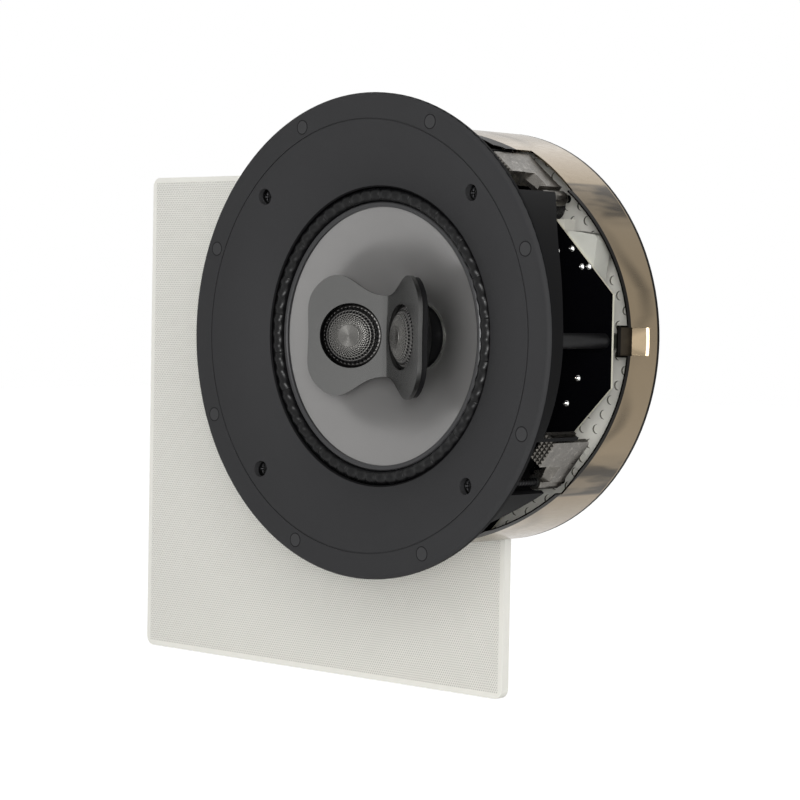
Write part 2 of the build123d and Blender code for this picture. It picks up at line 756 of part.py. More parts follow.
def motor_outline():
    """Shallow pot magnet with a step behind the dome."""
    low = -lens_recess - lens_rim_t - dome_t
    Polyline((0, low - 1), (dome_d / 2 - 2, low - 1), (dome_d / 2 - 2, low), (motor_d / 2, low),
             (motor_d / 2, low - motor_t), (0, low - motor_t), (0, low - 1))


for side, word in ((-1, "left"), (1, "right")):
    save(turned_on_lobe(side, lens_outline), f"tweeter_lens_{word}")
    save(turned_on_lobe(side, dome_outline), f"tweeter_dome_{word}")
    save(turned_on_lobe(side, motor_outline), f"tweeter_motor_{word}")

# Octagonal crossover board on four posts, with its pieces
with BuildPart() as board:
    cut = (board_w - board_edge) / 2
    with BuildSketch(facing(board_front)):
        Rectangle(board_w, board_w)
        chamfer(vertices(), cut)
        Circle(board_bore_d / 2, mode=Mode.SUBTRACT)
    extrude(amount=-board_t)
save(board.part, "crossover_board")

with BuildPart() as board_posts:
    with BuildSketch(facing(rod_seat)):
        with PolarLocations(rod_r, clamp_count):
            Circle(rod_d / 2)
    extrude(amount=rod_seat - board_front)
save(board_posts.part, "board_posts")

with BuildPart() as rear_spacers:
    with BuildSketch(facing(board_rear)):
        with PolarLocations(rod_r, clamp_count):
            Circle(rod_d / 2)
    extrude(amount=board_rear - rear_plate_front)
save(rear_spacers.part, "rear_spacers")

with BuildPart() as rear_screws:
    with BuildSketch(facing(rear_plate_front + rear_plate_t)):
        with PolarLocations(rod_r, clamp_count):
            Circle(woofer_head_d / 2)
    extrude(amount=-woofer_head_t)
save(rear_screws.part, "rear_screws")


def on_board(spot):
    """Place on the board in mm from shares of its half width."""
    return (spot[0] * board_w / 2, spot[1] * board_w / 2)


with BuildPart() as solder_joints:
    for spot in joint_spots:
        x, z = on_board(spot)
        with BuildSketch(Plane(origin=(x, board_front, z), x_dir=(1, 0, 0), z_dir=(0, 0, 1))):
            with BuildLine():
                CenterArc((0, 0), joint_d / 2, 180, 90)
                Polyline((0, -joint_d / 2), (0, 0), (-joint_d / 2, 0))
            make_face()
        revolve(axis=Axis((x, 0, z), (0, 1, 0)))
save(solder_joints.part, "solder_joints")

with BuildPart() as film_capacitor:
    with BuildSketch(facing(board_rear)):
        with Locations(Location(on_board(film_spot), film_turn)):
            RectangleRounded(film_w, film_h, film_w / 8)
    extrude(amount=-film_t)
save(film_capacitor.part, "film_capacitor")

with BuildPart() as crossover_coil:
    with BuildSketch(facing(board_rear)):
        with Locations(on_board(coil_spot)):
            Circle(choke_d / 2)
            Circle(choke_bore_d / 2, mode=Mode.SUBTRACT)
    extrude(amount=-choke_t)
save(crossover_coil.part, "crossover_coil")

with BuildPart() as small_capacitors:
    with BuildSketch(facing(board_rear)):
        with Locations(*[on_board(spot) for spot in tin_spots]):
            Circle(tin_d / 2)
    extrude(amount=-tin_t)
save(small_capacitors.part, "small_capacitors")

with BuildPart() as resistors:
    with BuildSketch(facing(board_rear)):
        with Locations(*[on_board(spot) for spot in resistor_spots]):
            Rectangle(resistor_w, resistor_h)
    extrude(amount=-resistor_h)
save(resistors.part, "resistors")

with BuildPart() as terminal_block:
    with BuildSketch(facing(board_rear)):
        with Locations(on_board(terminal_spot)):
            Rectangle(terminal_w, terminal_h)
    extrude(amount=-terminal_t)
    with BuildSketch(facing(board_rear + terminal_t)):
        with Locations(on_board(terminal_spot)):
            with GridLocations(terminal_w / 4, terminal_h, 4, 1):
                Rectangle(terminal_w / 7, terminal_h / 2)
    extrude(amount=terminal_t * 0.7, mode=Mode.SUBTRACT)
save(terminal_block.part, "terminal_block")

# Rear can: polished hoop with side windows, pressed grooves, room for the dogs and a rear flange
with BuildPart() as rear_can:
    with BuildSketch(Plane.XY):
        with BuildLine():
            Polyline((can_r, can_front), (can_r, can_rear), (can_r - can_flange_w, can_rear),
                     (can_r - can_flange_w, can_rear - can_t), (can_r - can_t, can_rear - can_t),
                     (can_r - can_t, can_front), (can_r, can_front))
        make_face()
    revolve(axis=Axis.Y)
    for angle in rod_angles:
        for extra, mode in ((can_t, Mode.ADD), (0, Mode.SUBTRACT)):
            floor_r = can_r - groove_depth - extra
            stop = can_rear - groove_end + extra - groove_slope
            reach = can_r - can_t / 2 if mode == Mode.ADD else can_r + 3
            a = radians(angle)
            side_plane = Plane(origin=(0, 0, 0), x_dir=(cos(a), 0, sin(a)), z_dir=(-sin(a), 0, cos(a)))
            with BuildSketch(side_plane.offset(-groove_w / 2 - extra)):
                with BuildLine():
                    step = -1 if side_plane.y_dir.Y < 0 else 1
                    Polyline((floor_r, step * (can_front - 1)), (floor_r, step * stop),
                             (reach, step * (stop + groove_slope)), (reach, step * (can_front - 1)),
                             (floor_r, step * (can_front - 1)))
                make_face()
            extrude(amount=groove_w + 2 * extra, mode=mode)
    with BuildSketch(Plane.YZ.offset(-flange_r)):
        with Locations((can_front, 0)):
            Ellipse(side_window_len, side_window_h / 2)
    extrude(amount=flange_d, mode=Mode.SUBTRACT)
    with BuildSketch(facing(0)):
        Circle(flange_r)
    extrude(amount=-can_front, mode=Mode.SUBTRACT)
    for angle in clamp_angles:
        with BuildSketch(facing(can_front, angle, clamp_r)):
            with Locations(((flange_r - clamp_r - pocket_floor) / 2, (dog_len + dog_room - tower_edge) / 2)):
                Rectangle(flange_r - clamp_r + pocket_floor, dog_len + dog_room + tower_edge)
        extrude(amount=-(dog_rear + dog_room - can_front), mode=Mode.SUBTRACT)
save(rear_can.part, "rear_can")

save(ring(can_r - can_t - plate_gap, 0, rear_plate_front, rear_plate_front + rear_plate_t), "rear_plate")

# Grille: perforated square sheet with returned edges
with BuildPart() as grille:
    with BuildSketch(Plane(origin=(grille_x, grille_y, grille_z), x_dir=(1, 0, 0), z_dir=(0, -1, 0))):
        RectangleRounded(grille_w, grille_w, grille_corner_r)
    extrude(amount=-grille_rim)
    offset(amount=-grille_t, openings=grille.faces().sort_by(Axis.Y)[-1])
save(grille.part, "grille")
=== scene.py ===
"""In-ceiling loudspeaker with its grille taken off: surfaces and finishes for the packed CAD frame.

Metres, +Z up. The speaker's axis is Y, the listener is on the -Y side and Y = 0 is the rear face of the
flange. Angles run counter-clockwise as the listener sees them, from +X. Shapes and patterns are worked
out in millimetres and turned to metres where they meet Blender.
"""
from math import cos, pi, radians, sin, sqrt, tau
from types import SimpleNamespace

import bmesh
import bpy
import numpy as np
from mathutils import Matrix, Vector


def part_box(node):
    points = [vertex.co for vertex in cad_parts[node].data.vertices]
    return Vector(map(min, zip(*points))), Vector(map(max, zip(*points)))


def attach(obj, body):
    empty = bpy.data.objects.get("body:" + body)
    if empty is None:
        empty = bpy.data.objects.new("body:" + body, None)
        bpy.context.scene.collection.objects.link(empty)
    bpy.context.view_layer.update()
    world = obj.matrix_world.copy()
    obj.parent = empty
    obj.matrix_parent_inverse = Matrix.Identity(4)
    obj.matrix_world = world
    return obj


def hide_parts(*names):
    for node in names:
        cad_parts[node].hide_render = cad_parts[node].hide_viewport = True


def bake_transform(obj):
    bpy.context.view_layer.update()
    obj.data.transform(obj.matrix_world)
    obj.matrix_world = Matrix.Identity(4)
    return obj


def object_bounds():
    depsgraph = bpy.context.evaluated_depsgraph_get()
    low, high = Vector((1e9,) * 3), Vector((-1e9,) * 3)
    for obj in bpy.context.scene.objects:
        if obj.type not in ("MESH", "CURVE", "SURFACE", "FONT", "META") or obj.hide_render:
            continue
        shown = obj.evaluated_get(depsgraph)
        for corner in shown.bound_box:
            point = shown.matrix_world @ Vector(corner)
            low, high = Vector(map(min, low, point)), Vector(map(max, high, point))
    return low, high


bl_info = {
    "name": "In-ceiling loudspeaker",
    "version": (1, 0, 0),
    "blender": (4, 5, 0),
    "location": "View3D > Sidebar > Loudspeaker",
    "description": "Dresses the CAD frame of an in-ceiling loudspeaker in its surfaces and finishes",
    "category": "Object",
}

MM = 0.001
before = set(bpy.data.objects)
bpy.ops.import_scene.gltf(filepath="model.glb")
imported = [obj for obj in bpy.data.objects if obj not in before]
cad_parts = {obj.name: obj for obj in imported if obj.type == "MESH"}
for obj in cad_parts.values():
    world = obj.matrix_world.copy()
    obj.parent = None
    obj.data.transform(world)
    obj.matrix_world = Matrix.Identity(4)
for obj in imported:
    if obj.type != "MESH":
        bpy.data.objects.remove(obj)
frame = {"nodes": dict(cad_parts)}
cad_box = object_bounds()


# Kinds of values that a user would change
def length(name, description, mm):
    """Size of mm millimetres, kept in metres and shown with its unit."""
    return bpy.props.FloatProperty(name=name, description=description, default=mm * MM, unit="LENGTH")


def angle(name, description, degrees):
    """Angle given in degrees."""
    return bpy.props.FloatProperty(name=name, description=description, default=radians(degrees),
                                   subtype="ANGLE")


def tint(name, description, code):
    """Colour with an sRGB hex default."""
    return bpy.props.FloatVectorProperty(name=name, description=description, size=3, default=srgb(code)[:3],
                                         subtype="COLOR", min=0, max=1)


def power(name, description, watts):
    """Power of a light."""
    return bpy.props.FloatProperty(name=name, description=description, default=watts, min=0, unit="POWER")


# Colours and shader nodes
def srgb(code):
    """Linear RGBA of an sRGB hex colour such as '#404042'."""
    channels = np.array([int(code[k:k + 2], 16) for k in (1, 3, 5)]) / 255
    low = channels / 12.92
    high = ((channels + 0.055) / 1.055) ** 2.4
    return tuple(np.where(channels <= 0.04045, low, high)) + (1.0,)


def dimmed(colour, amount):
    """RGBA of a colour with its light scaled."""
    return tuple(c * amount for c in tuple(colour)[:3]) + (1.0,)


def put(tree, kind, inputs=(), operation=None, **settings):
    """Add one shader node of a kind such as 'Math', which is its type's name without the common start.

    inputs are values, or the nodes and sockets that feed it: in a dict by the sockets' names, or in a list
    by their order. A MapRange takes a value, the two ends it comes from and the two ends it goes to.
    operation and settings are the node's own properties.
    """
    node = tree.nodes.new("ShaderNode" + kind)
    if operation:
        node.operation = operation
    for name, value in settings.items():
        setattr(node, name, value)
    for name, value in inputs.items() if isinstance(inputs, dict) else enumerate(inputs):
        if isinstance(value, bpy.types.Node):
            value = value.outputs[0]
        if isinstance(value, bpy.types.NodeSocket):
            tree.links.new(value, node.inputs[name])
        else:
            node.inputs[name].default_value = value
    return node


def new_surface(name, dark, light, roughness, cloud_mm=25.0, grain_mm=0.6, relief_mm=0.01, gloss_spread=0.05,
                stretch=(1, 1, 1), constants=()):
    """Node material of one real finish.

    Its colour drifts between dark and light in clouds of cloud_mm. A grain of grain_mm stands relief_mm
    high and moves the roughness by gloss_spread. Both are drawn out along the axes by stretch. Values that
    are the same all over, such as metallic, are in constants and set on the shader's own sockets.
    """
    made = bpy.data.materials.new(name)
    made.use_nodes = True
    tree = made.node_tree
    tree.nodes.clear()
    shader = put(tree, "BsdfPrincipled", constants)
    put(tree, "OutputMaterial", {"Surface": shader})
    spot = put(tree, "TexCoord").outputs["Object"]
    place = put(tree, "VectorMath", {0: spot, "Scale": 1 / MM}, "SCALE")
    drawn = put(tree, "VectorMath", [place, tuple(1 / s for s in stretch)], "MULTIPLY")
    cloud = put(tree, "TexNoise", {"Vector": drawn, "Scale": 1 / cloud_mm, "Detail": 3.0})
    colour = put(tree, "Mix", {"Factor": cloud, "A": dark, "B": light}, data_type="RGBA")
    grain = put(tree, "TexNoise", {"Vector": drawn, "Scale": 1 / grain_mm, "Detail": 2.0})
    gloss = put(tree, "MapRange", [grain, 0.3, 0.7, roughness - gloss_spread, roughness + gloss_spread])
    bump = put(tree, "Bump", {"Height": grain, "Distance": relief_mm * MM})
    tree.links.new(colour.outputs["Result"], shader.inputs["Base Color"])
    tree.links.new(gloss.outputs["Result"], shader.inputs["Roughness"])
    tree.links.new(bump.outputs["Normal"], shader.inputs["Normal"])
    return SimpleNamespace(material=made, tree=tree, shader=shader, place=place, bump=bump,
                           colour=colour.outputs["Result"], gloss=gloss.outputs["Result"])


def axes(surface):
    """Sockets x, y, z and radius, the distance from the speaker's axis, all in millimetres, and flat, the
    place without its depth."""
    parts = put(surface.tree, "SeparateXYZ", [surface.place])
    flat = put(surface.tree, "VectorMath", [surface.place, (1, 0, 1)], "MULTIPLY")
    radius = put(surface.tree, "VectorMath", [flat], "LENGTH")
    return SimpleNamespace(x=parts.outputs["X"], y=parts.outputs["Y"], z=parts.outputs["Z"],
                           radius=radius.outputs["Value"], flat=flat)


def laid_over(surface, mask, colour, roughness):
    """Cover the surface where the mask is 1 with another colour and gloss."""
    over = put(surface.tree, "Mix", {"Factor": mask, "A": surface.colour, "B": colour}, data_type="RGBA")
    gloss = put(surface.tree, "Mix", {"Factor": mask, "A": surface.gloss, "B": roughness})
    surface.colour = over.outputs["Result"]
    surface.gloss = gloss.outputs["Result"]
    surface.tree.links.new(surface.colour, surface.shader.inputs["Base Color"])
    surface.tree.links.new(surface.gloss, surface.shader.inputs["Roughness"])


def pressed(surface, height, depth_mm):
    """Add relief of depth_mm where the height is 1, on top of the surface's grain."""
    bump = put(surface.tree, "Bump", {"Height": height, "Distance": depth_mm * MM, "Normal": surface.bump})
    surface.bump = bump
    surface.tree.links.new(bump.outputs["Normal"], surface.shader.inputs["Normal"])


class SpeakerColours(bpy.types.PropertyGroup):
    """Main colours of the loudspeaker"""
    frame: tint("Frame", "Matt front of the flange and baffle", "#353536")
    moulding: tint("Moulding", "Bare black plastic behind the front", "#0A0A0B")
    pod: tint("Pod", "Metallic lacquer of the tweeter pod", "#626261")
    cone: tint("Cone", "Mica-filled cone", "#828180")
    rubber: tint("Surround", "Rubber of the surround", "#0B0B0C")
    can: tint("Can", "Polished metal of the rear can", "#82745F")
    dog: tint("Clamps", "Cast metal of the clamps", "#6E6B66")
    plate: tint("Rear plate", "Powder coat of the rear plate", "#EDEBE2")
    grille: tint("Grille", "Powder coat of the grille", "#F0EFE8")


# Finishes of the moulded and painted parts. Every finish is given the user's colours, for those it takes
# from there.
def moulded_abs_frame(colours):
    """Moulded ABS with its front sprayed matt charcoal: even, without glints. Behind the edge of the flange
    and inside the throat the bare black moulding shows, darker and a little glossier.
    The leather grain is about 0.3 mm in reality and is drawn at 0.8 mm, so that it shows."""
    surface = new_surface("moulded_abs_frame", dimmed(colours.frame, 0.95), dimmed(colours.frame, 1.05),
                          0.62, cloud_mm=35, grain_mm=0.8, relief_mm=0.02,
                          constants={"Specular IOR Level": 0.06})
    at = axes(surface)
    # The bare plastic begins about 2 mm behind the front's face, from the throat's edge out to the flange
    edge = put(surface.tree, "MapRange", [at.radius, 85.5, 122.6, 11.1, -2.2])
    behind = put(surface.tree, "Math", [at.y, edge], "GREATER_THAN")
    throat = put(surface.tree, "Math", [at.radius, 86.3], "LESS_THAN")
    bare = put(surface.tree, "Math", [behind, throat], "MAXIMUM")
    laid_over(surface, bare, tuple(colours.moulding) + (1.0,), 0.55)
    return surface.material


def filled_nylon(colours):
    """Glass-filled nylon, moulded: nearly black, satin, with a faint orange-peel."""
    return new_surface("filled_nylon", srgb("#0C0C0D"), srgb("#131314"), 0.42, cloud_mm=12, grain_mm=1.2,
                       relief_mm=0.012, constants={"Specular IOR Level": 0.16}).material


def spacer_nylon(colours):
    """Unfilled grey nylon, turned: smoky grey with a waxy shine."""
    return new_surface("spacer_nylon", srgb("#33352F"), srgb("#43453F"), 0.35, cloud_mm=9, grain_mm=0.8,
                       constants={"Specular IOR Level": 0.3}).material


def metallic_lacquer(colours):
    """Metallic grey lacquer on a moulding, sprayed: a satin sheen that swings with the light, so that a lobe
    that faces the other lobe goes dark, and a fine flake."""
    return new_surface("metallic_lacquer", dimmed(colours.pod, 0.95), dimmed(colours.pod, 1.05), 0.24,
                       cloud_mm=30, grain_mm=0.35, relief_mm=0.001, gloss_spread=0.02,
                       constants={"Metallic": 0.94}).material


def satin_trim(colours):
    """Grey moulded ring: satin, with a soft line of light along its round."""
    return new_surface("satin_trim", srgb("#343435"), srgb("#3D3D3E"), 0.36, cloud_mm=20, grain_mm=0.5,
                       relief_mm=0.006, constants={"Metallic": 0.35, "Specular IOR Level": 0.3}).material


def mica_polypropylene(colours):
    """Mica-filled polypropylene, moulded: a pearly grey whose sheen climbs where it turns to the light,
    with the flow of the melt in faint clouds."""
    return new_surface("mica_polypropylene", dimmed(colours.cone, 0.93), dimmed(colours.cone, 1.07), 0.3,
                       cloud_mm=45, grain_mm=0.6, relief_mm=0.001, gloss_spread=0.02,
                       constants={"Metallic": 0.35, "Specular IOR Level": 0.35}).material


def butyl_rubber(colours):
    """Butyl rubber, pressed in a polished mould: black, with a small wet glint on each ridge."""
    return new_surface("butyl_rubber", dimmed(colours.rubber, 0.85), dimmed(colours.rubber, 1.15), 0.33,
                       cloud_mm=15, grain_mm=0.9, relief_mm=0.012,
                       constants={"Specular IOR Level": 0.2}).material


def coated_silk(colours):
    """Silk dome with a tacky coating: black and dull, its weave of 0.3 mm just raised."""
    surface = new_surface("coated_silk", srgb("#0C0C0D"), srgb("#131314"), 0.7, cloud_mm=6, grain_mm=0.3,
                          relief_mm=0.02, constants={"Specular IOR Level": 0.2})
    threads = put(surface.tree, "TexVoronoi", {"Vector": surface.place, "Scale": 1 / 0.3, "Randomness": 0.2})
    pressed(surface, threads, 0.03)
    return surface.material


def powder_coated_plate(colours):
    """Steel sheet powder-coated cream: an even, softly shining skin with a faint orange-peel of 1.5 mm. The
    steep walls of its dimples are painted grey as shade, and show as grey crescents."""
    surface = new_surface("powder_coated_plate", dimmed(colours.plate, 0.97), dimmed(colours.plate, 1.0),
                          0.45, cloud_mm=60, grain_mm=1.5, relief_mm=0.015,
                          constants={"Specular IOR Level": 0.2})
    # Painted shade: the steep walls of the dimples are coloured grey
    laid_over(surface, faces_sideways(surface), srgb("#6B6A62"), 0.6)
    return surface.material


def facing_back(surface):
    """Socket that is 1 where the surface faces straight back, -1 where it faces the listener."""
    normal = put(surface.tree, "NewGeometry").outputs["True Normal"]
    return put(surface.tree, "SeparateXYZ", [normal]).outputs["Y"]


def faces_sideways(surface):
    """Mask that is 1 where the surface faces across the speaker's axis: cut edges and steep walls."""
    size = put(surface.tree, "Math", [facing_back(surface)], "ABSOLUTE")
    return put(surface.tree, "Math", [size, 0.5], "LESS_THAN").outputs[0]


def staggered_distance(surface, origin, pitch):
    """Distance in millimetres from the nearest point of a staggered pattern in the plane of X and Z.

    The pattern is two rectangular lattices, pitch by pitch times root three, the second moved by half a
    cell both ways. In each, the distance is the length of what is left of the place after whole cells."""
    cell = (pitch, 1.0, pitch * sqrt(3))
    nearest = []
    for shift in (0.0, 0.5):
        start = (origin[0] - (0.5 + shift) * cell[0], 0.0, origin[2] - (0.5 + shift) * cell[2])
        moved = put(surface.tree, "VectorMath", [surface.place, start], "SUBTRACT")
        cells = put(surface.tree, "VectorMath", [moved, cell], "DIVIDE")
        rest = put(surface.tree, "VectorMath", [cells], "FRACTION")
        centred = put(surface.tree, "VectorMath", [rest, (0.5, 0, 0.5)], "SUBTRACT")
        sized = put(surface.tree, "VectorMath", [centred, (cell[0], 0, cell[2])], "MULTIPLY")
        nearest.append(put(surface.tree, "VectorMath", [sized], "LENGTH").outputs["Value"])
    return put(surface.tree, "Math", [nearest[0], nearest[1]], "MINIMUM").outputs[0]


def powder_coated_grille(colours):
    """Perforated steel powder-coated off-white: a matt sheet of small grey holes inside a plain edge.
    The holes are 1.1 mm wide on a pitch of 1.7 mm, and the plain edge is 3.5 mm wide."""
    surface = new_surface("powder_coated_grille", dimmed(colours.grille, 0.985),
                          dimmed(colours.grille, 1.015), 0.55, cloud_mm=120, grain_mm=1.0, relief_mm=0.01,
                          constants={"Specular IOR Level": 0.15})
    tree = surface.tree
    pitch, edge_mm = 1.7, 3.5
    low, high = (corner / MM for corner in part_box("grille"))
    middle = (low + high) / 2
    away = staggered_distance(surface, middle, pitch)
    hole = put(tree, "MapRange", [away, 0.4, 0.6, 1.0, 0.0])
    # Neither the plain edge round the sheet nor the returned rim has holes
    moved = put(tree, "VectorMath", [surface.place, tuple(middle)], "SUBTRACT")
    sides = put(tree, "VectorMath", [moved], "ABSOLUTE")
    parts = put(tree, "SeparateXYZ", [sides])
    widest = put(tree, "Math", [parts.outputs["X"], parts.outputs["Z"]], "MAXIMUM")
    inside = put(tree, "Math", [widest, (high.x - low.x) / 2 - edge_mm], "LESS_THAN")
    open_hole = put(tree, "Math", [hole, inside], "MULTIPLY")
    laid_over(surface, open_hole, dimmed(colours.grille, 0.74), 0.8)
    pressed(surface, put(tree, "Math", [1.0, open_hole], "SUBTRACT"), 0.25)
    return surface.material


# Finishes of the metal parts
def nickel_magnets(colours):
    """Nickel-plated magnets under the flange's charcoal spray, with a dark ring of painted shade round each
    disc.
    """
    surface = new_surface("nickel_magnets", dimmed(colours.frame, 1.0), dimmed(colours.frame, 1.14), 0.5,
                          cloud_mm=9, grain_mm=0.8, relief_mm=0.015, constants={"Specular IOR Level": 0.14})
    tree = surface.tree
    at = axes(surface)
    count, ring_r, disc_r, gap_mm = 8, 130.0, 3.55, 0.25
    # Angle folded into one of the sectors, then the place in that sector against the disc's middle
    angle = put(tree, "Math", [at.z, at.x], "ARCTAN2")
    sectors = put(tree, "Math", [angle, count / tau], "MULTIPLY")
    rest = put(tree, "Math", [sectors], "FRACT")
    turn = put(tree, "Math", [rest, 0.5], "SUBTRACT")
    folded = put(tree, "Math", [turn, tau / count], "MULTIPLY")
    across, along = (put(tree, "Math", [put(tree, "Math", [folded], part), at.radius], "MULTIPLY")
                     for part in ("SINE", "COSINE"))
    outward = put(tree, "Math", [along, ring_r], "SUBTRACT")
    reach = put(tree, "VectorMath", [put(tree, "CombineXYZ", [across, outward])], "LENGTH")
    # Painted shade: a dark ring round the edge of each disc, where it meets its pocket
    painted_gap_shade = put(tree, "MapRange", [reach.outputs["Value"], disc_r, disc_r + gap_mm])
    laid_over(surface, painted_gap_shade, srgb("#121213"), 0.7)
    return surface.material


def black_oxide_steel(colours):
    """Blackened steel: dark, oily, with fine draw lines along the screw."""
    return new_surface("black_oxide_steel", srgb("#171718"), srgb("#222223"), 0.36, cloud_mm=8,
                       grain_mm=0.4, relief_mm=0.006, stretch=(1, 4, 1),
                       constants={"Metallic": 0.9}).material


def zinc_plated_steel(colours):
    """Zinc-plated steel: a bright cool grey with a clouded shine."""
    return new_surface("zinc_plated_steel", srgb("#9C9D9A"), srgb("#B4B5B1"), 0.34, cloud_mm=9,
                       grain_mm=0.7, relief_mm=0.006, gloss_spread=0.08,
                       constants={"Metallic": 1.0}).material


def sintered_ferrite(colours):
    """Sintered ferrite, ground: charcoal black and dull, with coarse pits."""
    return new_surface("sintered_ferrite", srgb("#191919"), srgb("#242323"), 0.6, cloud_mm=10, grain_mm=1.4,
                       relief_mm=0.04, constants={"Specular IOR Level": 0.3}).material


def die_cast_zinc(colours):
    """Die-cast zinc, tumbled: warm grey metal, clouded dull and bright, with rubbed bright patches."""
    surface = new_surface("die_cast_zinc", dimmed(colours.dog, 0.62), dimmed(colours.dog, 1.25), 0.36,
                          cloud_mm=5, grain_mm=0.9, relief_mm=0.025, gloss_spread=0.12,
                          constants={"Metallic": 0.95})
    rubbed = put(surface.tree, "TexNoise", {"Vector": surface.place, "Scale": 1 / 3.5, "Detail": 4.0})
    worn = put(surface.tree, "MapRange", [rubbed, 0.58, 0.72, 0.0, 0.6])
    laid_over(surface, worn, dimmed(colours.dog, 1.7), 0.22)
    return surface.material


def polished_can_steel(colours):
    """Drawn steel can, nickel-plated and polished: it mirrors the room in a warm grey. Dark streaks that run
    round it and dark bands behind the clamps are painted reflections, its grooves carry painted shade, and
    black lines run along its edges."""
    surface = new_surface("polished_can_steel", dimmed(colours.can, 0.92), dimmed(colours.can, 1.08), 0.22,
                          cloud_mm=40, grain_mm=2.0, relief_mm=0.004, gloss_spread=0.04, stretch=(1, 3, 1),
                          constants={"Metallic": 1.0})
    tree = surface.tree
    at = axes(surface)
    # Dark tone of the painted reflection behind the clamps and of the painted shade in the grooves
    painted_reflection_and_shade = dimmed(colours.can, 0.14)
    drum_r, front_y, rear_y, lip_y = 121.0, 48.4, 112.9, 112.0
    # Painted reflection: a dark soft band, 11 mm to each side, that wanders in depth and fades as it runs
    # round
    wander = put(tree, "TexNoise", {"Vector": at.flat, "Scale": 1 / 70, "Detail": 2.0})
    centre = put(tree, "MapRange", [wander, 0.3, 0.7, 62.0, 104.0])
    aside = put(tree, "Math", [at.y, centre], "SUBTRACT")
    apart = put(tree, "Math", [aside], "ABSOLUTE")
    band = put(tree, "MapRange", [apart, 0.0, 11.0, 1.0, 0.0], interpolation_type="SMOOTHSTEP")
    patches = put(tree, "TexNoise", {"Vector": at.flat, "Scale": 1 / 60, "Detail": 1.0})
    strength = put(tree, "MapRange", [patches, 0.38, 0.68, 0.0, 0.7])
    painted_reflection_streak = put(tree, "Math", [band, strength], "MULTIPLY")
    laid_over(surface, painted_reflection_streak, dimmed(colours.can, 0.33), 0.3)
    # Behind the clamps a dark reflection is painted right across: it fades in from the sides and ends sharply
    # towards the top and the bottom, with a few paler lines along the depth
    angle = put(tree, "Math", [at.z, at.x], "ARCTAN2")
    turn = put(tree, "Math", [angle, pi / 2], "PINGPONG")
    faded = put(tree, "MapRange", [turn, radians(31), radians(38)], interpolation_type="SMOOTHSTEP")
    ended = put(tree, "MapRange", [turn, radians(46.5), radians(47.5), 1.0, 0.0])
    before_lip = put(tree, "Math", [at.y, lip_y], "LESS_THAN")
    behind = put(tree, "Math", [faded, ended], "MULTIPLY")
    behind = put(tree, "Math", [behind, before_lip], "MULTIPLY")
    across = put(tree, "Math", [angle, 14.0], "MULTIPLY")
    along = put(tree, "Math", [at.y, 0.02], "MULTIPLY")
    lines = put(tree, "CombineXYZ", [across, along])
    streaks = put(tree, "TexNoise", {"Vector": lines, "Scale": 1.0, "Detail": 2.0})
    dark = put(tree, "MapRange", [streaks, 0.45, 0.62, 0.95, 0.35])
    laid_over(surface, put(tree, "Math", [behind, dark], "MULTIPLY"), painted_reflection_and_shade, 0.25)
    # The grooves are painted in shade, apart from a wedge that opens towards their rear end and is left a
    # little brighter as a painted highlight
    sunk = put(tree, "Math", [at.radius, drum_r], "LESS_THAN")
    height = put(tree, "Math", [at.z], "ABSOLUTE")
    opening = put(tree, "Math", [at.y, 0.5, -45.5], "MULTIPLY_ADD")
    outside = put(tree, "Math", [height, opening], "SUBTRACT")
    shade = put(tree, "MapRange", [outside, -2.0, 1.5, 0.92, 1.0], interpolation_type="SMOOTHSTEP")
    laid_over(surface, put(tree, "Math", [sunk, shade], "MULTIPLY"), painted_reflection_and_shade, 0.25)
    # Black line along the edge of the oval cut at the sides, the front rim and the rear rim
    oval_y, half_depth, half_height = 46.0, 40.0, 110.0
    oval = put(tree, "VectorMath", [surface.place, (0, oval_y, 0)], "SUBTRACT")
    round_cut = put(tree, "VectorMath", [oval, (0, 1 / half_depth, 1 / half_height)], "MULTIPLY")
    level = put(tree, "VectorMath", [round_cut], "LENGTH").outputs["Value"]
    near_cut = put(tree, "Math", [level, 1.065], "LESS_THAN")
    front_rim = put(tree, "Math", [at.y, front_y], "LESS_THAN")
    rear_rim = put(tree, "Math", [at.y, rear_y], "GREATER_THAN")
    drum = put(tree, "Math", [at.radius, drum_r], "GREATER_THAN")
    rear_edge = put(tree, "Math", [rear_rim, drum], "MULTIPLY")
    edges = put(tree, "Math", [near_cut, front_rim], "MAXIMUM")
    edges = put(tree, "Math", [edges, rear_edge], "MAXIMUM")
    laid_over(surface, edges, srgb("#161412"), 0.5)
    return surface.material


# Each lens sits out from the pod's fold on a lobe that tilts forward, and is sunk into it, in millimetres
TILT = radians(25.5)
FOLD_DEPTH = 17.5
LENS_OUT = 21.7
LENS_SUNK = 2.6


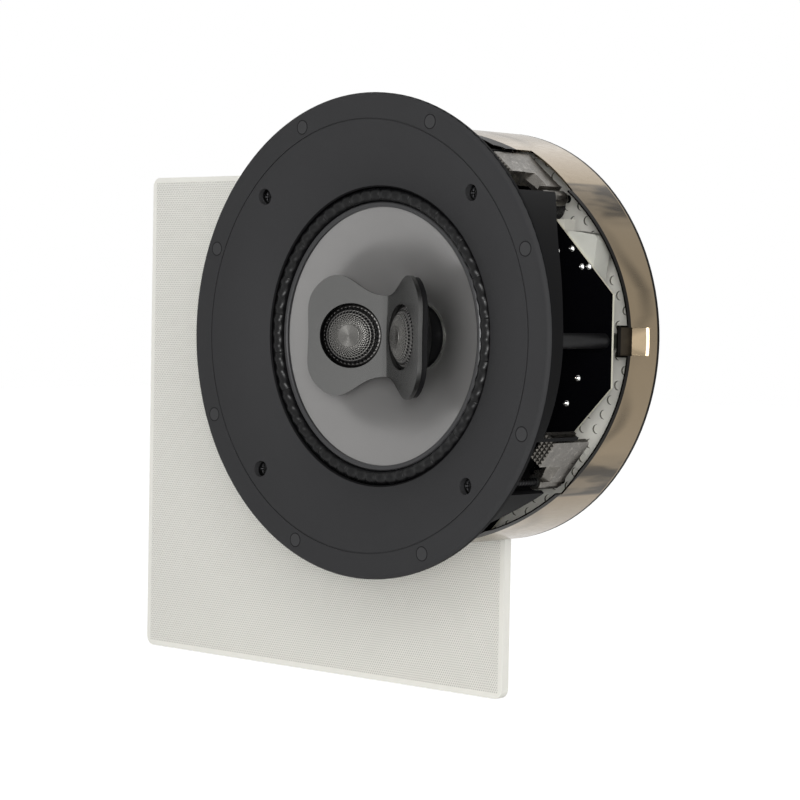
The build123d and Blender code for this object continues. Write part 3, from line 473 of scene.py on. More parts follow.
def spun_lens_steel(colours):
    """Perforated steel dome, spun and turned: bright metal whose fine turning lines throw a bow-tie glint
    across the middle. The outermost rings lie in the shade of the pod's rim and are darker."""
    surface = new_surface("spun_lens_steel", srgb("#5C5B59"), srgb("#6B6A67"), 0.27, cloud_mm=8,
                          grain_mm=0.4, relief_mm=0.004, constants={"Metallic": 1.0, "Anisotropic": 0.75})
    tree = surface.tree
    # Both lenses are worked out as the right one, by taking x without its sign
    parts = put(tree, "SeparateXYZ", [surface.place])
    side = put(tree, "Math", [parts.outputs["X"]], "SIGN")
    mirrored = put(tree, "Math", [parts.outputs["X"]], "ABSOLUTE")
    right = put(tree, "CombineXYZ", [mirrored, parts.outputs["Y"], parts.outputs["Z"]])
    axis = (-sin(TILT), -cos(TILT), 0.0)
    centre = (LENS_OUT * cos(TILT) + LENS_SUNK * sin(TILT),
              FOLD_DEPTH - LENS_OUT * sin(TILT) + LENS_SUNK * cos(TILT), 0.0)
    away = put(tree, "VectorMath", [right, centre], "SUBTRACT")
    around = put(tree, "VectorMath", [axis, away], "CROSS_PRODUCT")
    reach = put(tree, "VectorMath", [around], "LENGTH").outputs["Value"]
    turned_parts = put(tree, "SeparateXYZ", [around])
    back = put(tree, "Math", [turned_parts.outputs["X"], side], "MULTIPLY")
    tangent = put(tree, "CombineXYZ", [back, turned_parts.outputs["Y"], turned_parts.outputs["Z"]])
    tree.links.new(tangent.outputs[0], surface.shader.inputs["Tangent"])
    shade = put(tree, "MapRange", [reach, 12.0, 15.0])
    laid_over(surface, shade, srgb("#4E4D4C"), 0.36)
    return surface.material


# Finishes of the parts on the board
def solder_masked_board(colours):
    """Glass-epoxy board under black solder mask: deep black and smooth, with the pale cut edge of the glass
    cloth showing as a thin line."""
    surface = new_surface("solder_masked_board", srgb("#040406"), srgb("#070709"), 0.22, cloud_mm=30,
                          grain_mm=1.0, relief_mm=0.006, constants={"Specular IOR Level": 0.06})
    laid_over(surface, faces_sideways(surface), srgb("#D3D0BF"), 0.6)
    return surface.material


def tinned_solder(colours):
    """Tin solder, frozen in beads: bright and nearly a mirror."""
    return new_surface("tinned_solder", srgb("#CFCFCC"), srgb("#DEDEDB"), 0.16, cloud_mm=2, grain_mm=0.6,
                       relief_mm=0.02, constants={"Metallic": 1.0}).material


def wrapped_film(colours):
    """Film capacitor in pale tape and epoxy: off-white, slightly waxy."""
    return new_surface("wrapped_film", srgb("#C4C4BB"), srgb("#D2D2CA"), 0.4, cloud_mm=8, grain_mm=1.5,
                       relief_mm=0.05, stretch=(1, 5, 1), constants={"Specular IOR Level": 0.3}).material


def enamelled_copper(colours):
    """Enamelled copper wire, wound: brown-red metal with a ridge for each turn of 0.8 mm."""
    surface = new_surface("enamelled_copper", srgb("#8F5230"), srgb("#B06C42"), 0.3, cloud_mm=6,
                          grain_mm=0.5, constants={"Metallic": 0.85})
    turns = put(surface.tree, "Math", [axes(surface).y, tau / 0.8], "MULTIPLY")
    ridges = put(surface.tree, "Math", [turns], "SINE")
    pressed(surface, ridges, 0.15)
    return surface.material


def sleeved_capacitor(colours):
    """Electrolytic capacitor in a shrunk black sleeve: glossy, with the bare aluminium showing on its end."""
    surface = new_surface("sleeved_capacitor", srgb("#151518"), srgb("#1D1D20"), 0.28, cloud_mm=8,
                          grain_mm=1.0, constants={"Specular IOR Level": 0.4})
    end = put(surface.tree, "Math", [facing_back(surface), 0.9], "GREATER_THAN")
    laid_over(surface, end, srgb("#B4B4B2"), 0.3)
    surface.tree.links.new(end.outputs[0], surface.shader.inputs["Metallic"])
    return surface.material


def cement_resistor(colours):
    """Resistor cast in ceramic cement: chalky white with a sandy grain."""
    return new_surface("cement_resistor", srgb("#CBC9BF"), srgb("#DEDCD2"), 0.8, cloud_mm=6, grain_mm=0.7,
                       relief_mm=0.05, constants={"Specular IOR Level": 0.2}).material


FINISHES = {
    "frame_plastic": moulded_abs_frame, "black_plastic": filled_nylon, "pod_paint": metallic_lacquer,
    "trim_grey": satin_trim, "cone_poly": mica_polypropylene, "rubber": butyl_rubber, "silk": coated_silk,
    "cream_paint": powder_coated_plate, "grille_paint": powder_coated_grille, "magnet_grey": nickel_magnets,
    "dark_steel": black_oxide_steel, "zinc_steel": zinc_plated_steel, "ferrite": sintered_ferrite,
    "die_cast": die_cast_zinc, "can_steel": polished_can_steel, "lens_metal": spun_lens_steel,
    "board_black": solder_masked_board, "solder": tinned_solder, "film_white": wrapped_film,
    "coil_copper": enamelled_copper, "cap_black": sleeved_capacitor, "resistor_white": cement_resistor,
    "spacer": spacer_nylon,
}


def finish(slot):
    """Material of a slot, made the first time that it is asked for."""
    build = FINISHES[slot]
    return bpy.data.materials.get(build.__name__) or build(bpy.context.scene.speaker_colours)


def dress(slots):
    """Give the CAD nodes whose names start with each of these words the finish of its slot."""
    for start, slot in slots.items():
        named = [node for name, node in frame["nodes"].items() if name.startswith(start)]
        if not named:
            raise RuntimeError(f"the frame has no node whose name starts with {start}")
        for node in named:
            node.data.materials.clear()
            node.data.materials.append(finish(slot))


class SPEAKER_OT_mouldings(bpy.types.Operator):
    """Front frame, basket, posts and pod in their plastics and lacquer"""
    bl_idname = "speaker.mouldings"
    bl_label = "Mouldings"

    def execute(self, context):
        dress({"front_frame": "frame_plastic", "basket": "black_plastic", "board_posts": "black_plastic",
               "rear_spacers": "spacer", "pod_faceplate": "pod_paint", "pod_shell": "black_plastic",
               "pod_post": "black_plastic", "trim_ring": "trim_grey"})
        return {"FINISHED"}


class SPEAKER_OT_drivers(bpy.types.Operator):
    """Cone, coil, spider, domes and motors in their materials"""
    bl_idname = "speaker.drivers"
    bl_label = "Drivers"

    def execute(self, context):
        dress({"cone": "cone_poly", "voice_coil": "coil_copper", "voice_coil_former": "zinc_steel",
               "spider": "silk", "surround": "rubber", "tweeter_dome": "silk", "tweeter_motor": "ferrite",
               "tweeter_lens": "lens_metal", "woofer_magnet": "ferrite", "top_plate": "zinc_steel",
               "yoke_with_pole": "zinc_steel", "woofer_screws": "dark_steel"})
        return {"FINISHED"}


class SPEAKER_OT_clamps(bpy.types.Operator):
    """Clamp dogs, nuts and screws in their metals"""
    bl_idname = "speaker.clamps"
    bl_label = "Clamps"

    def execute(self, context):
        dress({"clamp_dog": "die_cast", "clamp_nut": "zinc_steel", "clamp_screw": "dark_steel"})
        return {"FINISHED"}


class SPEAKER_OT_board(bpy.types.Operator):
    """Crossover board and what is soldered to it"""
    bl_idname = "speaker.board"
    bl_label = "Crossover board"

    def execute(self, context):
        dress({"crossover_board": "board_black", "solder_joints": "solder", "film_capacitor": "film_white",
               "crossover_coil": "coil_copper", "small_capacitors": "cap_black",
               "resistors": "resistor_white", "terminal_block": "black_plastic"})
        return {"FINISHED"}


class SPEAKER_OT_housing(bpy.types.Operator):
    """Rear can with its plate and screws, and the grille with its magnets, plated and powder-coated"""
    bl_idname = "speaker.housing"
    bl_label = "Rear can and grille"

    def execute(self, context):
        # The magnets' name starts as the grille's does, so they come after it
        dress({"rear_can": "can_steel", "rear_screws": "zinc_steel", "rear_plate": "cream_paint",
               "grille": "grille_paint", "grille_magnets": "magnet_grey"})
        return {"FINISHED"}


# Surfaces worked out as whole arrays
def turned(profile, count):
    """Points of a (radius, depth) profile carried round the Y axis: one row for each point of the profile."""
    profile = np.asarray(profile, float)
    angle = np.arange(count) * tau / count
    radius = profile[:, :1]
    depth = np.repeat(profile[:, 1:], count, axis=1)
    return np.stack([radius * np.cos(angle), depth, radius * np.sin(angle)], axis=-1)


def grid_faces(rows, columns, wrap_rows=False, wrap_columns=True):
    """Quads between neighbouring points of a grid, as rows of point numbers."""
    index = np.arange(rows * columns).reshape(rows, columns)
    if wrap_rows:
        index = np.vstack([index, index[:1]])
    if wrap_columns:
        index = np.hstack([index, index[:, :1]])
    corners = (index[:-1, :-1], index[1:, :-1], index[1:, 1:], index[:-1, 1:])
    return np.stack(corners, axis=-1).reshape(-1, 4)


def mesh_piece(name, points, faces, body, slot, replaced):
    """A smooth mesh in metres from points in millimetres, welded, in the finish of its slot.

    It rides on its body, when one is given."""
    mesh = bpy.data.meshes.new(name)
    mesh.from_pydata(np.asarray(points).reshape(-1, 3) * MM, [], faces)
    shape = bmesh.new()
    shape.from_mesh(mesh)
    bmesh.ops.remove_doubles(shape, verts=shape.verts, dist=1e-7)
    shape.to_mesh(mesh)
    shape.free()
    mesh.polygons.foreach_set("use_smooth", np.ones(len(mesh.polygons), bool))
    mesh.materials.append(finish(slot))
    mesh.update()
    made = bpy.data.objects.new(name, mesh)
    bpy.context.scene.collection.objects.link(made)
    if body:
        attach(made, body)
    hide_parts(*replaced)
    return made


def joined(*grids):
    """Several (points, faces) pairs as one pair."""
    points, faces, count = [], [], 0
    for part_points, part_faces in grids:
        part_points = np.asarray(part_points).reshape(-1, 3)
        points.append(part_points)
        faces.append(np.asarray(part_faces) + count)
        count += len(part_points)
    return np.concatenate(points), np.concatenate(faces)


def placed(points, origin, x_dir, y_dir, z_dir):
    """Local points carried to an origin and three directions."""
    return np.asarray(origin) + np.asarray(points) @ np.array([x_dir, y_dir, z_dir])


def flexing_ring(name, section, sectors, steps, slot, replaced):
    """A soft ring between the chassis and the cone, in equal sectors that share their seams.

    section gives the closed outline of the ring as arrays of radius and depth, one row for each of its
    points, out along one face and back along the other, and one column for each angle that it is asked for.
    Each sector is made without a body and stays where it is built.
    """
    for k in range(sectors):
        turn = (k - 0.5 + np.linspace(0, 1, steps + 1)) * tau / sectors
        radius, depth = section(turn)
        points = np.stack([radius * np.cos(turn), depth, radius * np.sin(turn)], axis=-1)
        rows = len(points)
        outline = grid_faces(rows, steps + 1, wrap_rows=True, wrap_columns=False)
        # Each seam is closed by quads from the outline's way out to its way back
        seam = np.arange(rows) * (steps + 1)
        there, back = seam[:rows // 2], seam[::-1][:rows // 2]
        cap = np.stack([there[:-1], back[:-1], back[1:], there[1:]], axis=-1)
        faces = np.concatenate([outline, cap, cap[:, ::-1] + steps])[:, ::-1]
        made = mesh_piece(f"{name}_{k + 1:02d}", points, faces, None, slot, replaced)
        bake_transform(made)


class SurroundSizes(bpy.types.PropertyGroup):
    """Ridged rubber roll round the cone"""
    ribs: bpy.props.IntProperty(name="Ribs", description="Radial ridges round the roll", default=66, min=3)
    rib_height: length("Rib height", "How far a ridge stands up", 0.9)
    inner: length("Roll inside", "Inner radius of the roll", 77.5)
    outer: length("Roll outside", "Outer radius of the roll", 85.2)
    height: length("Roll height", "Crown above its edges", 4.2)
    sheet: length("Thickness", "Thickness of the rubber", 0.6)
    sectors: bpy.props.IntProperty(name="Sectors", description="Pieces that it is made in: a divisor of ribs",
                                   default=22, min=3)


class SPEAKER_OT_surround(bpy.types.Operator):
    """Rubber surround: a half roll whose crown swells into radial ridges"""
    bl_idname = "speaker.surround"
    bl_label = "Ridged surround"

    def execute(self, context):
        size = context.scene.speaker_surround
        inner, outer, sheet = size.inner / MM, size.outer / MM, size.sheet / MM
        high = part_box("surround")[1]
        base = high.y / MM - sheet
        # The inner flat edge lies on the cone, and the outer one goes on under the frame, which hides it
        outer_edge, inner_edge, steps_per_rib = high.x / MM - 6.0, inner - 1.9, 12
        # Across the roll: half a circle, flattened to its height, between the two flat edges
        arch = np.linspace(0, pi, 25)[:, None]
        crown = np.sin(arch)
        across = (inner + outer) / 2 + (outer - inner) / 2 * np.cos(arch)
        across = np.vstack([[[outer_edge]], across, [[inner_edge]]])

        def section(turn):
            """Outline at each angle: a ridge is half a cosine wave, sharpened, and strongest at the crown."""
            ridge = (0.5 + 0.5 * np.cos((turn - turn[0]) * size.ribs + pi)) ** 1.5
            rise = size.height / MM * crown + size.rib_height / MM * (ridge - 0.6) * crown ** 0.7
            flat = np.zeros((1, len(turn)))
            front = base - np.vstack([flat, rise, flat])
            radius = np.repeat(across, len(turn), axis=1)
            return np.vstack([radius, radius[::-1]]), np.vstack([front, front[::-1] + sheet])

        steps = steps_per_rib * size.ribs // size.sectors
        flexing_ring("ridged_surround", section, size.sectors, steps, "rubber", ["surround"])
        return {"FINISHED"}


class SpiderSizes(bpy.types.PropertyGroup):
    """Corrugated disc that centres the voice coil"""
    bore: length("Bore", "Radius of the neck, at the coil", 20.55)
    waves: bpy.props.IntProperty(name="Waves", description="Corrugations from neck to edge", default=6, min=1)
    height: length("Height", "From a trough to a crest", 1.6)
    sheet: length("Thickness", "Thickness of the cloth", 0.5)
    sectors: bpy.props.IntProperty(name="Sectors", description="Pieces that it is made in", default=12, min=3)


class SPEAKER_OT_spider(bpy.types.Operator):
    """Spider: coated cloth pressed into round waves between the coil's neck and the basket's ledge"""
    bl_idname = "speaker.spider"
    bl_label = "Spider"

    def execute(self, context):
        size = context.scene.speaker_spider
        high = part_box("spider")[1]
        inner, outer, sheet = size.bore / MM, high.x / MM, size.sheet / MM
        base = high.y / MM - sheet
        radius = np.linspace(inner, outer, 97)[:, None]
        # The waves run between a flat neck and a flat edge of 4 mm, and start and end level with them
        edge = 4.0
        inward = np.clip((radius - inner - edge) / (outer - inner - 2 * edge), 0, 1)
        front = base - size.height / MM * (0.5 - 0.5 * np.cos(inward * tau * size.waves))

        def section(turn):
            """The same outline at every angle: the waves and, behind them, the same waves again."""
            flat = np.ones((1, len(turn)))
            return np.vstack([radius[::-1], radius]) * flat, np.vstack([front[::-1], front + sheet]) * flat

        flexing_ring("corrugated_spider", section, size.sectors, 8, "silk", ["spider"])
        return {"FINISHED"}


class LensSizes(bpy.types.PropertyGroup):
    """Perforated dome over each tweeter"""
    holes: bpy.props.IntProperty(name="Holes", description="Holes in each ring of the dome", default=42,
                                 min=3)
    rise: length("Rise", "From the flat rim to the disc", 6.0)
    disc: length("Disc radius", "Turned disc at the middle", 6.5)
    sheet: length("Thickness", "Thickness of the sheet", 0.5)


# Rings of holes from the outside in: (radius of the ring, radius of its holes), in millimetres
LENS_RINGS = ((15.9, 0.86), (13.7, 0.72), (12.0, 0.56), (10.85, 0.47), (9.9, 0.42), (9.05, 0.38), (8.3, 0.33),
              (7.6, 0.29), (7.0, 0.23))
LENS_RIM = LENS_RINGS[0][0] + 1.3
# Points along each side of the cell round a hole
SIDE_POINTS = 4


def ring_cells(radii, holes, height):
    """Perforated dome: every ring is cut into sectors, and each sector is a frame of quads round one hole.

    radii holds (radius of the ring, radius of its holes) from the outside in. The border between two rings
    lies midway, and the rings are staggered by half a sector, so that neighbours share their border points.
    Each border point is joined to the point of its hole's edge that lies at the same angle.
    """
    middle = np.array([r for r, hole in radii])
    edges = np.concatenate([[LENS_RIM], (middle[:-1] + middle[1:]) / 2, [middle[-1] - 0.5]])
    step = tau / holes
    walk, still = np.linspace(-1, 1, SIDE_POINTS + 1)[:-1], np.ones(SIDE_POINTS)
    across = np.concatenate([walk, still, -walk, -still])
    along = np.concatenate([-still, walk, still, -walk])
    around = np.arctan2(along, across)
    grids = []
    for k, (ring, hole) in enumerate(radii):
        centre = (np.arange(holes) + 0.5 * (k % 2)) * step
        border_r = ring + along * np.where(along > 0, edges[k] - ring, ring - edges[k + 1])
        border_a = centre[:, None] + across * step / 2
        hole_r = ring + hole * np.sin(around)
        hole_a = centre[:, None] + hole * np.cos(around) / ring
        rows = []
        for r, a in ((np.broadcast_to(border_r, border_a.shape), border_a),
                     (np.broadcast_to(hole_r, hole_a.shape), hole_a)):
            rows.append(np.stack([r * np.cos(a), r * np.sin(a), height(r)], axis=-1))
        one = grid_faces(2, len(across))
        cell = np.arange(holes)[:, None, None] * 2 * len(across)
        grids.append((np.stack(rows, axis=1), (one[None] + cell).reshape(-1, 4)))
    return joined(*grids)


def lens_height(rise, disc):
    """Height over the rim: a quarter of an ellipse from the rim in to the disc."""
    def height(radius):
        inward = np.clip((LENS_RIM - radius) / (LENS_RIM - disc), 0, 1)
        return rise * np.sin(inward * pi / 2) ** 0.9
    return height


class SPEAKER_OT_lenses(bpy.types.Operator):
    """Tweeter lenses: perforated domes with a finely turned, slightly hollow disc"""
    bl_idname = "speaker.lenses"
    bl_label = "Tweeter lenses"

    def execute(self, context):
        size = context.scene.speaker_lens
        rise, disc_r = size.rise / MM, size.disc / MM
        height = lens_height(rise, disc_r)
        dome = ring_cells(LENS_RINGS, size.holes, height)
        # Turned disc: its face is hollow by half a millimetre and carries fine grooves, and its edge stands
        # in the dome
        grooves, edge_r, disc_sides = 36, disc_r + 0.05, 128
        r = np.linspace(disc_r - 0.1, 0.0, grooves)
        face = rise + 0.5 - 0.5 * (1 - r / disc_r) + 0.02 * (np.arange(grooves) % 2)
        profile = np.array([(edge_r, height(edge_r) - 0.3), (edge_r, rise + 0.35), *zip(r, face)])
        disc = (turned(profile, disc_sides)[..., [0, 2, 1]], grid_faces(len(profile), disc_sides)[:, ::-1])
        # Rim: a flat ring that shares the dome's outer points, and a short wall down into the pod
        flange_r, rim_sides = 18.4, size.holes * SIDE_POINTS
        rim = turned([(flange_r, -1.6), (flange_r, 0.0), (LENS_RIM, 0.0)], rim_sides)[..., [0, 2, 1]]
        points, faces = joined(dome, disc, (rim, grid_faces(3, rim_sides)[:, ::-1]))
        for side, word in ((-1, "left"), (1, "right")):
            x_dir = np.array([side * cos(TILT), -sin(TILT), 0])
            z_dir = np.array([-side * sin(TILT), -cos(TILT), 0])
            y_dir = np.cross(z_dir, x_dir)
            origin = np.array([0, FOLD_DEPTH, 0]) + x_dir * LENS_OUT - z_dir * LENS_SUNK
            made = mesh_piece(f"perforated_lens_{word}", placed(points, origin, x_dir, y_dir, z_dir), faces,
                              "chassis", "lens_metal", [f"tweeter_lens_{word}"])
            wall = made.modifiers.new("sheet", "SOLIDIFY")
            wall.thickness = size.sheet
            wall.offset = -1
        return {"FINISHED"}


class ScrewSizes(bpy.types.PropertyGroup):
    """Thread and cross recess of the clamp screws"""
    pitch: length("Pitch", "Travel of the nut in one turn", 2.5)
    depth: length("Depth", "From crest to root", 0.45)
    recess: length("Recess", "Depth of the cross in the head", 1.5)


def threaded_rod(place, radius, start, end, pitch, depth):
    """Rod along Y whose radius follows a V thread: the distance to the helix, folded to a triangle, which
    fades in and out at its ends. It is closed by a point at its start and a tip 0.6 mm past its last ring."""
    columns = 24
    turn = np.arange(columns) * tau / columns
    y = np.arange(start, end, pitch / 8)
    phase = (y[:, None] / pitch - turn / tau) % 1.0
    valley = np.abs(phase - 0.5) * 2
    fade = np.clip(np.minimum(y - start, end - y) / (pitch * 0.8), 0, 1)[:, None]
    r = radius - depth * valley * fade
    points = np.stack([place[0] + r * np.cos(turn), np.repeat(y[:, None], columns, axis=1),
                       place[1] + r * np.sin(turn)], axis=-1)
    first, tip = (np.full((1, columns, 3), (place[0], middle, place[1])) for middle in (start, y[-1] + 0.6))
    return np.concatenate([first, points, tip]), grid_faces(len(y) + 2, columns)


def pan_head(place, front, recess):
    """Pan head facing the listener, with its shank: rings whose depth follows the head's round, sunk by a
    cross whose arms are 1 mm wide, 2.4 mm long and deepest in the middle."""
    sides = 48
    radius = np.array([0.0, 0.35, 0.7, 1.1, 1.6, 2.1, 2.5, 3.0, 3.6, 4.0, 4.0, 2.3, 2.3, 0.0])
    depth = front + np.array([0.0, 0.0, 0.0, 0.0, 0.01, 0.03, 0.06, 0.12, 0.35, 0.9, 2.6, 2.6, 10.4, 10.4])
    points = turned(np.stack([radius, depth], axis=1), sides)
    across, along = np.abs(points[..., 0]), np.abs(points[..., 2])
    narrow, long = np.minimum(across, along), np.maximum(across, along)
    arm = np.clip((0.75 - narrow) / 0.35, 0, 1) * np.clip((2.6 - long) / 1.2, 0, 1)
    points[:-2, :, 1] += recess * arm[:-2]
    return points + np.array([place[0], 0, place[1]]), grid_faces(len(radius), sides)


class SPEAKER_OT_screws(bpy.types.Operator):
    """The four clamp screws with their threads and cross recesses"""
    bl_idname = "speaker.screws"
    bl_label = "Clamp screws"

    def execute(self, context):
        size = context.scene.speaker_screw
        rod_r, shank_end, tip = 2.29, 10.0, 0.7
        for k in range(1, 5):
            low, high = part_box(f"clamp_screw_{k}")
            middle = (low + high) / 2 / MM
            place = (middle.x, middle.z)
            thread = threaded_rod(place, rod_r, shank_end, high.y / MM - tip, size.pitch / MM,
                                  size.depth / MM)
            points, faces = joined(thread, pan_head(place, low.y / MM, size.recess / MM))
            mesh_piece(f"threaded_screw_{k}", points, faces, f"screw_{k}", "dark_steel", [f"clamp_screw_{k}"])
        return {"FINISHED"}


class PlateSizes(bpy.types.PropertyGroup):
    """Round dimples of the rear plate"""
    pitch: length("Pitch", "Between neighbouring dimples", 10.0)
    dimple: length("Dimple", "Diameter of a dimple", 5.6)
    depth: length("Depth", "Depth of a dimple", 1.3)


class SPEAKER_OT_rear_plate(bpy.types.Operator):
    """Rear plate pressed with round dimples in a staggered pattern"""
    bl_idname = "speaker.rear_plate"
    bl_label = "Dimpled rear plate"

    def execute(self, context):
        size = context.scene.speaker_plate
        pitch, rim_r, depth = size.pitch / MM, size.dimple / MM / 2, size.depth / MM
        low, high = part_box("rear_plate")
        radius, front, rear = high.x / MM, low.y / MM, high.y / MM
        # One dimple: a hexagon cell, a round rim, a steep wall and a flat floor
        sides, edge_sides = 12, 160
        turn = np.arange(sides) * tau / sides
        hexagon = pitch / 2 / np.cos((turn + tau / 12) % (tau / 6) - tau / 12)
        rings = ((hexagon, 0.0), (rim_r, 0.0), (rim_r - 0.12, 1.0), (0.4, 1.0))
        cell = np.stack([np.stack([r * np.cos(turn), np.full(sides, front + sunk * depth), r * np.sin(turn)],
                                  axis=-1) for r, sunk in rings])
        reach = int(radius / pitch) + 2
        column, row = np.meshgrid(np.arange(-reach, reach + 1), np.arange(-reach, reach + 1))
        x = (column + 0.5 * (row % 2)) * pitch
        z = row * pitch * cos(pi / 6)
        inside = np.hypot(x, z) < radius - pitch * 0.62
        spots = np.stack([x[inside], np.zeros(inside.sum()), z[inside]], axis=-1)
        count = len(rings) * sides
        first = np.arange(len(spots))[:, None, None] * count
        cells = grid_faces(len(rings), sides)[None] + first
        floors = np.arange(count - sides, count)[None] + first[:, 0]
        # The sheet's round edge is a wall of quads, and its back is one face
        wall = turned([(radius, front), (radius, rear)], edge_sides)
        walls = grid_faces(2, edge_sides) + len(spots) * count
        back = np.arange(edge_sides) + len(spots) * count + edge_sides
        points = np.concatenate([(spots[:, None, None] + cell).reshape(-1, 3), wall.reshape(-1, 3)])
        faces = [*cells.reshape(-1, 4).tolist(), *floors.tolist(), *walls.tolist(), back.tolist()]
        made = mesh_piece("dimpled_plate", points, faces, "chassis", "cream_paint", ["rear_plate"])
        # The flat front between the outermost cells and the wall is filled
        shape = bmesh.new()
        shape.from_mesh(made.data)
        bmesh.ops.triangle_fill(shape, edges=[edge for edge in shape.edges if edge.is_boundary],
                                use_beauty=True)
        bmesh.ops.recalc_face_normals(shape, faces=shape.faces)
        shape.to_mesh(made.data)
        shape.free()
        made.data.shade_smooth()
        made.data.set_sharp_from_angle(angle=radians(25))
        return {"FINISHED"}


class SolderSizes(bpy.types.PropertyGroup):
    """Solder beads with the leads' cut ends"""
    bead: length("Bead", "Diameter of a bead on the board", 4.2)
    lead: length("Lead", "Height of the cut lead over the board", 2.6)


# Half the board's width in millimetres, and the joints on its front, across and up from its middle, as
# shares of that
BOARD_HALF = 113.5
JOINT_SPOTS = ((0.8, 0.37), (0.79, -0.19), (0.72, -0.32), (0.64, 0.45), (0.735, 0.46), (0.56, 0.26),
               (0.845, 0.37), (0.53, -0.48))


class SPEAKER_OT_solder(bpy.types.Operator):
    """Solder joints: concave beads that climb the cut leads"""
    bl_idname = "speaker.solder"
    bl_label = "Solder joints"

    def execute(self, context):
        size = context.scene.speaker_solder
        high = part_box("solder_joints")[1]
        # The bead's radius falls off towards the lead as it rises, and the lead ends in a dome
        radius = np.array([0.0, 1.0, 0.97, 0.82, 0.6, 0.42, 0.28, 0.24, 0.24, 0.16, 0.0]) * size.bead / MM / 2
        rise = np.array([0.0, 0.0, 0.1, 0.28, 0.4, 0.52, 0.66, 0.8, 0.94, 0.99, 1.0]) * size.lead / MM
        sides = 16
        bead = turned(np.stack([radius, high.y / MM - rise], axis=1), sides)
        shift = np.array([(x, 0, z) for x, z in JOINT_SPOTS]) * BOARD_HALF
        first = np.arange(len(shift))[:, None, None] * len(radius) * sides
        faces = (grid_faces(len(radius), sides)[None] + first).reshape(-1, 4)[:, ::-1]
        mesh_piece("soldered_leads", bead[None] + shift[:, None, None], faces, "chassis", "solder",
                   ["solder_joints"])
        return {"FINISHED"}


class StageSettings(bpy.types.PropertyGroup):
    """Where the camera stands and how strong the lights are"""
    azimuth: angle("Azimuth", "Camera's turn round the object from the front", 42.48)
    elevation: angle("Elevation", "Camera's height above the horizon", 2.30)
    roll: angle("Roll", "Camera's turn about its own axis", 1.07)
    distance: length("Distance", "From the camera to the flange, along the camera's axis", 1424.42)
    lens: bpy.props.FloatProperty(name="Lens", description="Focal length on a 36 mm sensor", default=112.68,
                                  unit="CAMERA")
    key_power: power("Key light", "Power of the large soft light at the front", 26.0)
    rim_power: power("Rim light", "Power of the soft light above and behind", 1.6)
    near_power: power("Near light", "Power of the light beside the camera", 11.0)
    world_light: bpy.props.FloatProperty(name="Room light", description="Even light from all sides",
                                         default=0.4, min=0)


def direction(azimuth, elevation):
    """Unit vector towards an azimuth from the front, turning to +X, and a height above the horizon."""
    return np.array([sin(azimuth) * cos(elevation), -cos(azimuth) * cos(elevation), sin(elevation)])


def standing(right, up, back, place):
    """Matrix of a camera or lamp that stands at a place and looks against back."""
    made = np.eye(4)
    made[:3] = np.stack([right, up, back, place], axis=1)
    return Matrix(made.tolist())


def soft_light(name, watts, size, azimuth, elevation, distance):
    """Round area light, size across, that looks at the flange's middle from a direction in degrees."""
    lamp = bpy.data.objects.new(name, bpy.data.lights.new(name, "AREA"))
    lamp.data.shape = "DISK"
    lamp.data.size = size
    lamp.data.energy = watts
    away = direction(radians(azimuth), radians(elevation))
    side = np.cross([0, 0, 1], away)
    side /= np.linalg.norm(side)
    lamp.matrix_world = standing(side, np.cross(away, side), away, away * distance)
    bpy.context.scene.collection.objects.link(lamp)


def seen_directly(tree):
    """Socket that is 1 for what the camera sees, also in a reflection or through glass, and 0 for light
    that falls on things."""
    ray = put(tree, "LightPath")
    seen = put(tree, "Math", [ray.outputs["Is Camera Ray"], ray.outputs["Is Glossy Ray"]], "MAXIMUM")
    return put(tree, "Math", [seen, ray.outputs["Is Transmission Ray"]], "MAXIMUM").outputs[0]


def studio_paper():
    """Matt white studio paper: seen white, with the object's shadow kept."""
    surface = new_surface("studio_paper", srgb("#F2F2F2"), srgb("#F8F8F8"), 0.9, cloud_mm=300, grain_mm=2.0)
    lift = put(surface.tree, "Math", [seen_directly(surface.tree), 0.62], "MULTIPLY")
    surface.shader.inputs["Emission Color"].default_value = (1, 1, 1, 1)
    surface.tree.links.new(lift.outputs[0], surface.shader.inputs["Emission Strength"])
    return surface.material


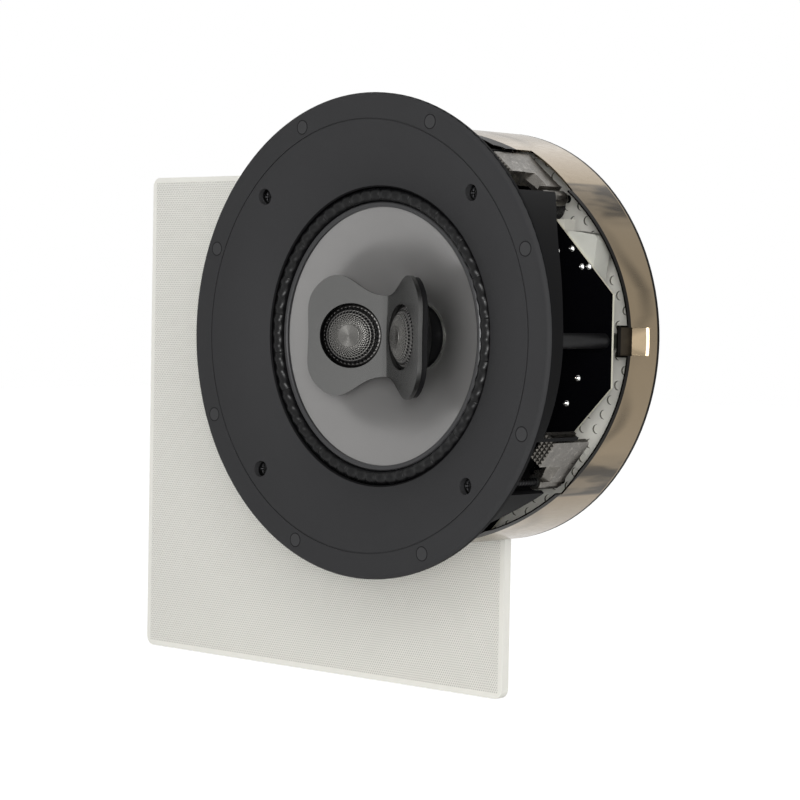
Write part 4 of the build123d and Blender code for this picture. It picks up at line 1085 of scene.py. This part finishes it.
class SPEAKER_OT_stage(bpy.types.Operator):
    """Camera at the photograph's view, pale floor, soft lights and a plain world"""
    bl_idname = "speaker.stage"
    bl_label = "Stage"

    def execute(self, context):
        stage = context.scene.speaker_stage
        back = direction(stage.azimuth, stage.elevation)
        right = np.array([cos(stage.azimuth), sin(stage.azimuth), 0.0])
        up = np.cross(back, right)
        across = cos(stage.roll) * right + sin(stage.roll) * up
        above = cos(stage.roll) * up - sin(stage.roll) * right
        # The flange's middle shows left of the picture's and above it
        left, higher = 22.37 * MM, 36.23 * MM
        flange_at = np.array([0.0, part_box("front_frame")[0].y, 0.0])
        place = flange_at + stage.distance * back + left * across - higher * above
        camera = bpy.data.objects.new("camera", bpy.data.cameras.new("camera"))
        context.scene.collection.objects.link(camera)
        camera.data.lens = stage.lens
        camera.data.sensor_width = 36
        camera.data.clip_start = 0.05
        camera.matrix_world = standing(across, above, back, place)
        context.scene.camera = camera

        bpy.ops.mesh.primitive_plane_add(size=8, location=(0, 0, cad_box[0].z - 0.5 * MM))
        floor = context.object
        floor.name = "floor"
        floor.data.materials.append(studio_paper())

        soft_light("key_light", stage.key_power, 1.0, 41, 8, 2.2)
        soft_light("rim_light", stage.rim_power, 1.0, 199, 38, 1.8)
        soft_light("near_light", stage.near_power, 0.25, 43, 2.8, 2.2)

        world = bpy.data.worlds.new("studio")
        world.use_nodes = True
        tree = world.node_tree
        tree.nodes.clear()
        strength = put(tree, "MapRange", [seen_directly(tree), 0.0, 1.0, stage.world_light, 1.0])
        light = put(tree, "Background", {"Color": (1, 1, 1, 1), "Strength": strength})
        put(tree, "OutputWorld", {"Surface": light})
        context.scene.world = world
        context.scene.view_settings.view_transform = "Standard"
        return {"FINISHED"}


GROUPS = {"speaker_colours": SpeakerColours, "speaker_surround": SurroundSizes, "speaker_spider": SpiderSizes,
          "speaker_lens": LensSizes, "speaker_screw": ScrewSizes, "speaker_plate": PlateSizes,
          "speaker_solder": SolderSizes, "speaker_stage": StageSettings}
STEPS = (SPEAKER_OT_mouldings, SPEAKER_OT_drivers, SPEAKER_OT_clamps, SPEAKER_OT_board, SPEAKER_OT_housing,
         SPEAKER_OT_surround, SPEAKER_OT_spider, SPEAKER_OT_lenses, SPEAKER_OT_screws, SPEAKER_OT_rear_plate,
         SPEAKER_OT_solder, SPEAKER_OT_stage)


class SPEAKER_PT_panel(bpy.types.Panel):
    """Sizes, colours and steps of the loudspeaker"""
    bl_idname = "SPEAKER_PT_panel"
    bl_label = "Loudspeaker"
    bl_space_type = "VIEW_3D"
    bl_region_type = "UI"
    bl_category = "Loudspeaker"

    def draw(self, context):
        for group, kind in GROUPS.items():
            box = self.layout.box()
            box.label(text=kind.__doc__)
            for name in kind.__annotations__:
                box.prop(getattr(context.scene, group), name)
        for step in STEPS:
            self.layout.operator(step.bl_idname)


def register():
    for made in (*GROUPS.values(), *STEPS, SPEAKER_PT_panel):
        bpy.utils.register_class(made)
    for group, kind in GROUPS.items():
        setattr(bpy.types.Scene, group, bpy.props.PointerProperty(type=kind))


def unregister():
    for group in GROUPS:
        delattr(bpy.types.Scene, group)
    for made in reversed((*GROUPS.values(), *STEPS, SPEAKER_PT_panel)):
        bpy.utils.unregister_class(made)


def main():
    register()
    bpy.ops.speaker.mouldings()
    bpy.ops.speaker.drivers()
    bpy.ops.speaker.clamps()
    bpy.ops.speaker.board()
    bpy.ops.speaker.housing()
    bpy.ops.speaker.surround()
    bpy.ops.speaker.spider()
    bpy.ops.speaker.lenses()
    bpy.ops.speaker.screws()
    bpy.ops.speaker.rear_plate()
    bpy.ops.speaker.solder()
    bpy.ops.speaker.stage()


if __name__ == "__main__":
    main()
